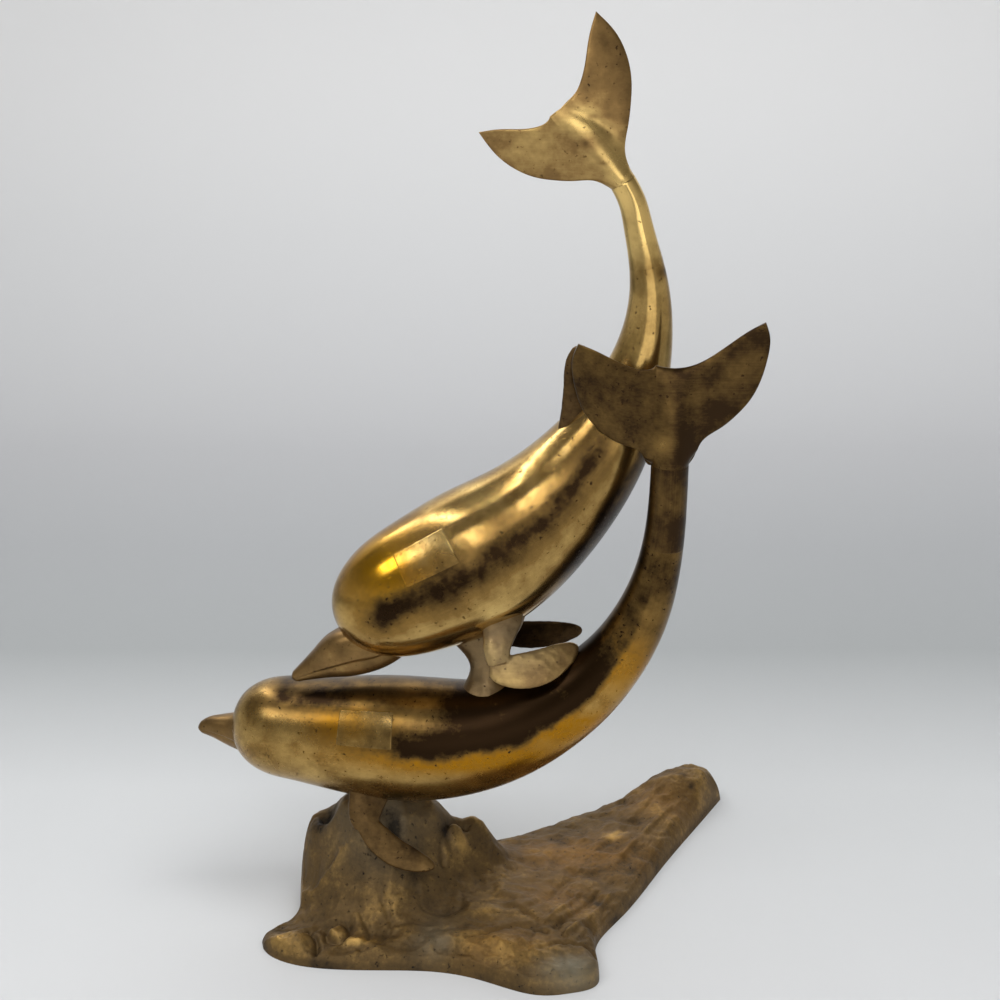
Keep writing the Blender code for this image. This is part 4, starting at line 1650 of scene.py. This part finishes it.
def round_body(
    places: Array,
    straight: Array,
    broad: tuple[float, float],
    fine: tuple[float, float],
) -> tuple[Array, Array]:
    """Tell where on a body places lie, with wavering angles, so that bands get cloudy edges.

    Args:
        places: places in millimetres.
        straight: the straight places.
        broad: degrees by which the angle wavers, and over how many millimetres.
        fine: the same for a finer wavering.

    Returns:
        The station, and degrees above the widest line, the same on both sides.
    """
    angle = np.degrees(np.arctan2(straight[:, 2], np.abs(straight[:, 1])))
    angle += broad[0] * NOISE.read(places, broad[1]) + fine[0] * NOISE.layered(places, fine[1])
    return straight[:, 0], angle


def lower_patina_and_painted_shade(places: Array, straight: Array) -> Array:
    """Lay brown patina up the tail, and patina and painted shade along the body.

    Along the back a dark band is patina and a painted dark reflection; on top of the front half
    lies a painted reflection of the upper dolphin's dark belly, and under the belly a little
    painted shade.

    Args:
        places: places in millimetres.
        straight: the straight places.

    Returns:
        The change of tone.
    """
    station, angle = round_body(places, straight, (8.0, 24.0), (3.5, 7.0))
    drift = 9 * ease(station, 110, 170)
    # Dark band: brown patina and a painted dark reflection
    back = 0.64 * ease(angle + drift, -4, 20)
    back *= ease(station - 0.8 * np.minimum(angle, 52), 46, 112)
    back *= 1 - 0.3 * ease(station, 225, 250)
    # Painted reflection of the upper dolphin's dark belly on top of the front half
    top = 0.36 * ease(angle, 44, 62) * (1 - ease(station, 112, 160)) * ease(station, 20, 34)
    # Painted shade under the belly
    under = 0.05 * ease(-angle, 30, 58) * ease(station, 60, 110)
    tail = 0.45 * ease(station, 214, LOWER.joint)
    return -np.maximum(back, np.maximum(top, tail)) - under


def shaded_side(places: Array, straight: Array) -> Array:
    """Darken the tail on the side away from the light.

    Args:
        places: places in millimetres.
        straight: the straight places; not used.

    Returns:
        The change of tone.
    """
    return -0.05 * ease(places[:, 0], 98, 106)


def make_lower() -> None:
    """Make the lower dolphin."""
    smudges = (0.09, 10.0)
    LOWER.body(Paint(
        Metal.HANDLED, 0.56,
        spots=[
            Spot((-108, -34, 112), (12, 20, 12), 0.06),
            # Painted shade that dims the lamps' streaks on the head
            Spot((-88, -42, 130), (26, 24, 6), -0.34),
            # Painted reflection of the pale floor low on the flank
            Spot((-30, -45, 92), (40, 20, 8), 0.12),
            Spot((105, -50, 224), (14, 20, 26), 0.10),
            Spot((-95, -40, 84), (30, 30, 12), 0.13),
            Spot((72, -52, 143), (20, 20, 14), 0.06),
        ],
        film=[
            # Amber film and a painted amber highlight on the head
            Spot((-68, -42, 122), (22, 24, 8), 1.05),
            # This and the next spot: amber film and a painted reflection of the pale floor below
            # the dark band
            Spot((0, -54, 106), (62, 24, 9), 1.3),
            Spot((52, -53, 124), (34, 24, 10), 1.2),
            Spot((80, -52, 158), (18, 24, 20), 0.8),
        ],
        smudges=(0.10, 9.0),
        change=lower_patina_and_painted_shade,
    ))
    LOWER.core_cover(Paint(
        Metal.PATCH, 0.47,
        spots=[Spot((-46, -52, 112), (14, 20, 9), -0.22)],
        # Amber film with the painted amber highlight carried on from the head
        film=[Spot((-66, -50, 124), (9, 20, 9), 0.5)],
        smudges=smudges,
    ))
    LOWER.tail_stock(Paint(Metal.BROWN, 0.11, smudges=smudges, change=shaded_side))
    LOWER.tail_fluke(Paint(
        Metal.BROWN, 0.09,
        spots=[
            # This and the next spot: brighter rubbed metal and a painted highlight along the ridge
            Spot((98, -58, 284), (5, 8, 6), 0.34),
            Spot((101, -58, 300), (4, 8, 20), 0.14),
            Spot((140, -50, 325), (14, 30, 14), 0.10),
            Spot((58, -50, 334), (5, 30, 8), 0.10),
        ],
        smudges=smudges,
        change=shaded_side,
    ))
    LOWER.beak(Paint(Metal.SATIN, 0.42, smudges=smudges), 2.2)
    near = (
        [(0, 10.9, -15.6), (-2.6, 19.4, -29.7), (-2.6, 25.4, -39.7), (-1.5, 26.5, -43)],
        [(-6, 26, -36.5), (13.5, 28.4, -55.5), (37, 24, -66)],
    )
    far = (
        [(0, -14.8, -13.6), (3, -21.4, -27.5), (6, -24.2, -37.4), (8, -25, -41)],
        [(-2, -23.4, -37.5), (8, -28, -49), (20, -32, -56)],
    )
    worn_root = [Spot((-28, -52, 37), (5, 9, 5), 0.2)]
    near_paint = Paint(Metal.SATIN, 0.17, worn_root, smudges=smudges)
    far_paint = Paint(Metal.SATIN, 0.25, smudges=smudges)
    LOWER.pectoral("near", 85.0, *near, 16.0, (16, 11, 8.4, 7), near_paint)
    LOWER.pectoral("far", 85.0, *far, 16.0, (12, 7, 5, 4.5), far_paint)


def upper_patina_and_painted_reflection(places: Array, straight: Array) -> Array:
    """Lay a dark band along the flank, and painted reflections on the rest of the body.

    The band is patina and a painted reflection of the dark room behind the camera; under the
    rear half lies a painted dark reflection of the lower dolphin, and a painted reflection of the
    pale floor brightens the belly.

    Args:
        places: places in millimetres.
        straight: the straight places.

    Returns:
        The change of tone.
    """
    station, angle = round_body(places, straight, (6.0, 22.0), (2.5, 7.0))
    # Dark band: patina and a painted reflection of the dark room behind the camera
    band = np.exp(-(((angle - 8) / 18) ** 2)) * ease(station, 8, 30)
    band *= 1 - ease(station, 176, 206)
    # Painted dark reflection of the lower dolphin under the rear half
    under = ease(-angle, 26, 44) * ease(station, 98, 126) * (1 - ease(station, 200, 232))
    # Painted reflection of the pale floor on the belly
    belly = 0.20 * ease(-angle, 16, 32) * (1 - ease(station, 80, 112))
    return belly - 0.60 * band - 0.60 * under


def tail_painted_reflection(places: Array, straight: Array) -> Array:
    """Brighten the tail from its seam towards the fluke.

    The brightening is a painted reflection of the bright floor in front.

    Args:
        places: places in millimetres; not used.
        straight: the straight places.

    Returns:
        The change of tone.
    """
    return 0.40 * ease(straight[:, 0], UPPER.joint, UPPER.joint + 16)


def make_upper() -> None:
    """Make the upper dolphin."""
    smudges = (0.12, 8.0)
    body = Paint(
        Metal.POLISHED, 0.62,
        spots=[
            # Deepens the band on the head: patina and a painted dark reflection
            Spot((-35, -57, 197), (12, 20, 10), -0.10),
            Spot((99, -24, 367), (3, 12, 3), -0.4),
            Spot((-66, -44, 204), (10, 20, 14), -0.1),
            # Painted shade that dims a lamp's streak on top of the head
            Spot((-32, -38, 234), (15, 20, 8), -0.2),
            # Brighter metal under the film: a painted amber highlight on the head
            Spot((-46, -46, 212), (14, 20, 10), 0.14),
        ],
        film=[
            # This and the next spot: amber film that paints the amber highlight on the head
            Spot((-44, -46, 214), (20, 24, 14), 0.95),
            Spot((-52, -40, 204), (24, 24, 22), 0.35),
        ],
        smudges=(0.07, 9.0),
        change=upper_patina_and_painted_reflection,
    )
    UPPER.body(body)
    # The patch keeps the body's film, with its painted amber highlight, and the body's patina and
    # painted reflections
    UPPER.core_cover(replace(body, metal=Metal.PATCH, tone=0.72, spots=()))
    # The tail's brightening is a painted reflection of the bright floor in front
    UPPER.tail_stock(Paint(Metal.POLISHED, 0.62, smudges=smudges, change=tail_painted_reflection))
    fluke = Paint(
        Metal.SATIN, 0.54,
        spots=[
            # These four: brighter rubbed metal and a painted highlight along the hub's ridge
            Spot((84, -27, 406), (9, 14, 9), 0.4),
            Spot((76, -27, 418), (9, 14, 10), 0.3),
            Spot((66, -27, 432), (9, 14, 9), 0.3),
            Spot((56, -27, 444), (9, 14, 7), 0.4),
            Spot((30, -25, 436), (18, 12, 9), 0.16),
            Spot((58, -27, 433), (1.5, 8, 1.7), -0.3),
            Spot((67, -27, 423), (2.4, 8, 1.3), -0.25),
            Spot((60, -27, 446), (12, 8, 1.6), -0.2),
            Spot((72, -22, 470), (18, 20, 30), -0.25),
        ],
        smudges=smudges,
    )
    UPPER.tail_fluke(fluke, [[(48, -26, 449.8), (60, -26, 445.5), (70, -26, 439.0)]])
    UPPER.beak(Paint(Metal.SATIN, 0.42, smudges=smudges), 2.6)
    near = (
        [
            (-8, 18, -25), (-11, 21.2, -31), (-15.5, 24, -36.6), (-20.2, 26.7, -42.2),
            (-23, 27.5, -49),
        ],
        [(-29.8, 26.8, -49.8), (-8.7, 28, -61.2), (18.2, 18.6, -66)],
    )
    far = (
        [(0, -15.2, -21.1), (-10, -24.3, -36.8), (-17.2, -28, -46.3), (-20, -28.5, -50)],
        [(-23.6, -28.7, -49.6), (-3.9, -28.7, -63.8), (22.4, -27.1, -76.1)],
    )
    near_paint = Paint(
        Metal.SATIN, 0.58,
        spots=[Spot((16, -48, 186), (22, 16, 10), -0.30)],
        film=[Spot((18, -55, 170), (30, 60, 20), -0.3)],
        smudges=smudges,
    )
    UPPER.pectoral("near", 90.0, *near, 20.0, (14, 12, 9, 7.6, 6.4), near_paint)
    # The far fin is painted almost black: painted shade behind the body
    UPPER.pectoral("far", 90.0, *far, 20.0, (12, 7, 5.2, 4.6), Paint(Metal.SATIN, 0.0))
    fin = [(0, 2, 8, 20, 8), (16, 7, 24, 11.5, 4), (26, 11, 33, 8.5, 3)]
    fin += [(37, 15, 40, 6, 2.4), (40, 16, 42, 3.4, 1.6)]
    UPPER.back_fin(178.0, fin, Paint(Metal.SATIN, 0.16))


def make_supports() -> None:
    """Make the two pieces that hold the upper dolphin."""
    post = Paint(
        Metal.SATIN, 0.40,
        spots=[
            Spot((3, -38, 172), (5, 9, 5), -0.3),
            Spot((4, -30, 138), (16, 16, 7), -0.16),
        ],
        film=[Spot((3, -35, 155), (30, 30, 30), -0.25)],
    )
    SUPPORTS.make_post(LOWER.line, UPPER.line, post)
    SUPPORTS.make_braze(UPPER.line, Paint(Metal.BRAZE, 0.55))


def rock_patina_and_painted_shade(places: Array, straight: Array) -> Array:
    """Rub the high ground brighter, leave hollows dark, and paint shade low on the foot.

    Args:
        places: places in millimetres.
        straight: the straight places; not used.

    Returns:
        The change of tone.
    """
    relief = np.clip(ROCK.relief(places[:, :2]), -3.5, 3.0)
    # Painted shade on the lowest few millimetres of the foot
    side = 0.12 * ease(-places[:, 2], -5.0, -2.5)
    return 0.045 * relief + 0.06 * ROCK.roughness(places) - side


def make_base() -> None:
    """Make the rock base."""
    ROCK.make(Paint(
        Metal.ROCK, 0.45,
        spots=[
            Spot((84, 28, 14), (6, 5, 8), 0.65),
            Spot((91, 34, 14), (3, 3, 8), 0.5),
            Spot((-61, -82, 9), (9, 2.6, 6), 0.5),
            # Painted light on the arm's end, which faces up to the lamps
            Spot((140, 86, 22), (22, 20, 16), 0.16),
            Spot((-6, -26, 42), (4, 6, 5), 0.08),
            Spot((-16, -24, 44), (3, 5, 6), -0.3),
            Spot((50, -108, 8), (16, 9, 10), 0.12),
            Spot((-105, -78, 9), (7, 6, 6), 0.25),
            Spot((-75, -74, 10), (5, 5, 6), 0.2),
            Spot((133, 89, 23), (2.5, 3, 4), -0.5),
            Spot((138, 81, 21), (2.5, 3, 4), -0.5),
            Spot((71, -45, 12), (2.5, 3, 4), -0.5),
            Spot((-46, -39, 57), (6, 8, 12), -0.35),
            # This and the next spot: painted shadow of the lower near fin on the hump
            Spot((-61, -48, 36), (7, 9, 14), -0.14),
            Spot((-47, -44, 38), (6, 9, 14), -0.12),
            Spot((-86, -16, 48), (7, 8, 9), -0.35),
            Spot((15, -92, 12), (30, 12, 10), 0.08),
            Spot((-26, -64, 24), (28, 20, 22), -0.08),
            Spot((66, 6, 15), (50, 30, 10), -0.07),
        ],
        film=[
            Spot((15, -90, 12), (26, 12, 10), 0.35),
            Spot((66, 6, 15), (50, 24, 10), 0.55),
            Spot((48, -48, 12), (26, 20, 10), 0.4),
            Spot((118, 66, 18), (30, 24, 14), 0.35),
            Spot((52, -108, 8), (15, 9, 12), -0.95),
            Spot((-18, -82, 9), (12, 12, 10), -0.5),
            Spot((-55, -25, 60), (34, 40, 26), -0.3),
        ],
        change=rock_patina_and_painted_shade,
    ))


# Room, lights and camera


@dataclass(frozen=True)
class Softbox:
    """A rectangular lamp. Places and sizes are in metres.

    Attributes:
        name: its name.
        place: where it hangs.
        aim: what it points at.
        size: its width and height.
        watts: its power.
        mirrored: whether polished metal mirrors it.
        lengthwise: direction of its width.
    """

    name: str
    place: Point
    aim: Point
    size: tuple[float, float]
    watts: float
    mirrored: bool = True
    lengthwise: Point = (1.0, 0.0, 0.0)

    def hang(self) -> None:
        """Make the lamp and aim it."""
        data = bpy.data.lights.new(self.name, "AREA")
        data.shape = "RECTANGLE"
        data.size, data.size_y = self.size
        data.energy = self.watts
        light = into_scene(self.name, data)
        light.location = self.place
        light.rotation_mode = "QUATERNION"
        back = (Vector(self.place) - Vector(self.aim)).normalized()
        side = Vector(self.lengthwise)
        side = (side - back * back.dot(side)).normalized()
        turn = Matrix((side, back.cross(side), back)).transposed()
        light.rotation_quaternion = turn.to_quaternion()
        light.visible_glossy = self.mirrored
        light.visible_camera = False


@dataclass
class Studio:
    """The pale sweep behind the sculpture, its lights and the camera.

    Attributes:
        sweep_painted_shades: the sweep's colours by metres along it from the sculpture.
        room_shades: the room's colours by share of the way up.
        lamps: the softboxes.
        target: what the camera looks at, in metres.
        distance: the camera's distance from there, in metres.
        elevation: degrees that the camera looks down.
        lens: the camera's focal length in millimetres.
    """

    sweep_painted_shades: Sequence[tuple[float, str]]
    room_shades: Sequence[tuple[float, str]]
    lamps: Sequence[Softbox]
    target: Point = (0.015, -0.026, 0.245)
    distance: float = 0.86
    elevation: float = 17.0
    lens: float = 57.6

    def sweep(self) -> None:
        """Make the floor that curves up into the wall: straight, a quarter turn, straight."""
        radius, wall, reach, below = 500.0, 1500.0, 2600.0, 0.05
        turn = np.linspace(0, np.pi / 2, 40)[1:]
        floor = np.linspace(-3000.0, wall - radius, 60)
        up = np.linspace(radius, reach, 30)[1:]
        ys = [floor, wall - radius + radius * np.sin(turn), np.full(len(up), wall)]
        zs = [np.zeros(len(floor)), radius * (1 - np.cos(turn)), up]
        ys, zs = np.concatenate(ys)[:, None], np.concatenate(zs)[:, None]
        xs = np.linspace(-reach, reach, 40)
        points = np.stack(np.broadcast_arrays(xs, ys, zs - below), axis=-1)
        mesh, _, _ = mesh_from("pale_sweep", [Shell(points[::-1], wrap=False, capped=False)])
        mesh.materials.append(self.card())
        into_scene("pale_sweep", mesh)

    def card(self) -> bpy.types.Material:
        """Build the sweep's material: matt card, its colour following the distance along it.

        The ramp is painted shade and light: darker in a band across the floor behind the
        sculpture, lighter up the wall.

        Returns:
            The material.
        """
        material = bpy.data.materials.new("pale_card")
        material.use_nodes = True
        tree = material.node_tree
        shader = tree.nodes["Principled BSDF"]
        (first, first_code), (last, last_code) = self.sweep_painted_shades[0], self.sweep_painted_shades[-1]
        position = add_node(tree, "ShaderNodeTexCoord", output="Object")
        parts = add_node(tree, "ShaderNodeSeparateXYZ", (position,)).node.outputs
        travel = add_node(tree, "ShaderNodeMath", (parts["Y"], parts["Z"]), operation="ADD")
        share = add_node(tree, "ShaderNodeMapRange", (travel, first, last))
        ramp = add_node(tree, "ShaderNodeValToRGB", (share,))
        stops = ramp.node.color_ramp.elements
        stops[0].color, stops[1].color = linear(first_code), linear(last_code)
        for place, code in self.sweep_painted_shades[1:-1]:
            stops.new((place - first) / (last - first)).color = linear(code)
        tree.links.new(ramp, shader.inputs["Base Color"])
        shader.inputs["Roughness"].default_value = 0.75
        return material

    def world(self) -> None:
        """Fill the room by height alone: pale at and below the horizon, darkest half way up."""
        world = bpy.data.worlds.new("room")
        bpy.context.scene.world = world
        world.use_nodes = True
        tree = world.node_tree
        direction = add_node(tree, "ShaderNodeTexCoord", output="Generated")
        upward = add_node(tree, "ShaderNodeSeparateXYZ", (direction,), "Z")
        ramp = add_node(tree, "ShaderNodeValToRGB", (upward,))
        stops = ramp.node.color_ramp.elements
        stops[0].color, stops[1].color = (linear(self.room_shades[i][1]) for i in (0, -1))
        for position, code in self.room_shades[1:-1]:
            stops.new(position).color = linear(code)
        tree.links.new(ramp, tree.nodes["Background"].inputs["Color"])
        tree.nodes["Background"].inputs["Strength"].default_value = 1.0

    def camera(self) -> None:
        """Set the camera where the photograph was taken from."""
        data = bpy.data.cameras.new("camera")
        data.lens = self.lens
        data.sensor_width = 36.0
        camera = into_scene("camera", data)
        down = float(np.radians(self.elevation))
        back = Vector((0.0, -float(np.cos(down)), float(np.sin(down))))
        camera.location = Vector(self.target) + back * self.distance
        camera.rotation_mode = "QUATERNION"
        camera.rotation_quaternion = (-back).to_track_quat("-Z", "Y")
        bpy.context.scene.camera = camera

    def build(self) -> None:
        """Set up the whole studio."""
        self.sweep()
        self.world()
        self.camera()
        for lamp in self.lamps:
            lamp.hang()
        bpy.context.scene.view_settings.view_transform = "Standard"


STUDIO = Studio(
    # The sweep's ramp paints shade and light: a darker band across the floor behind the sculpture,
    # lighter up the wall
    sweep_painted_shades=[
        (-0.2, "#CDCECF"), (0.12, "#C4C6C7"), (0.36, "#9DA0A1"), (0.62, "#A3A5A7"),
        (1.0, "#B3B4B6"), (1.6, "#D0D1D2"), (2.2, "#EEEEEE"),
    ],
    room_shades=[
        (0.0, "#C9C8C6"), (0.12, "#BDBCBA"), (0.3, "#84827E"), (0.5, "#6E6C68"),
        (0.7, "#77777A"), (1.0, "#8E9094"),
    ],
    lamps=[
        Softbox("top_box", (0.5, -0.25, 1.7), (0.1, 0.1, 0.1), (1.2, 0.8), 13.0, False),
        Softbox(
            "tube_left", (-0.51, 0.15, 0.92), (0.0, -0.05, 0.25), (0.85, 0.03), 1.9,
            lengthwise=(-0.33, 0.93, -0.16),
        ),
        Softbox(
            "tube_near", (-0.19, -0.81, 0.82), (0.0, -0.05, 0.25), (0.5, 0.03), 1.1,
            lengthwise=(0.55, -0.60, -0.58),
        ),
        Softbox(
            "side_box", (-0.79, -0.53, 0.94), (0.0, -0.05, 0.2), (0.4, 0.28), 1.9,
            lengthwise=(0.0, 1.0, 0.0),
        ),
        Softbox("front_strip", (0.3, -1.6, 0.50), (0.05, 0.0, 0.35), (1.4, 0.75), 3.4),
        Softbox("wall_wash", (0.0, 0.95, 1.9), (0.0, 1.5, 1.6), (3.0, 0.3), 28.0, False),
        Softbox("front_fill", (0.0, -1.3, 1.9), (0.0, -1.3, 0.0), (2.4, 1.4), 14.0, False),
    ],
)


def main() -> None:
    """Dress the sculpture and light it."""
    logging.basicConfig(level=logging.INFO, format="%(name)s: %(message)s")
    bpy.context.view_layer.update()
    make_base()
    make_lower()
    make_supports()
    make_upper()
    STUDIO.build()


if __name__ == "__main__":
    main()
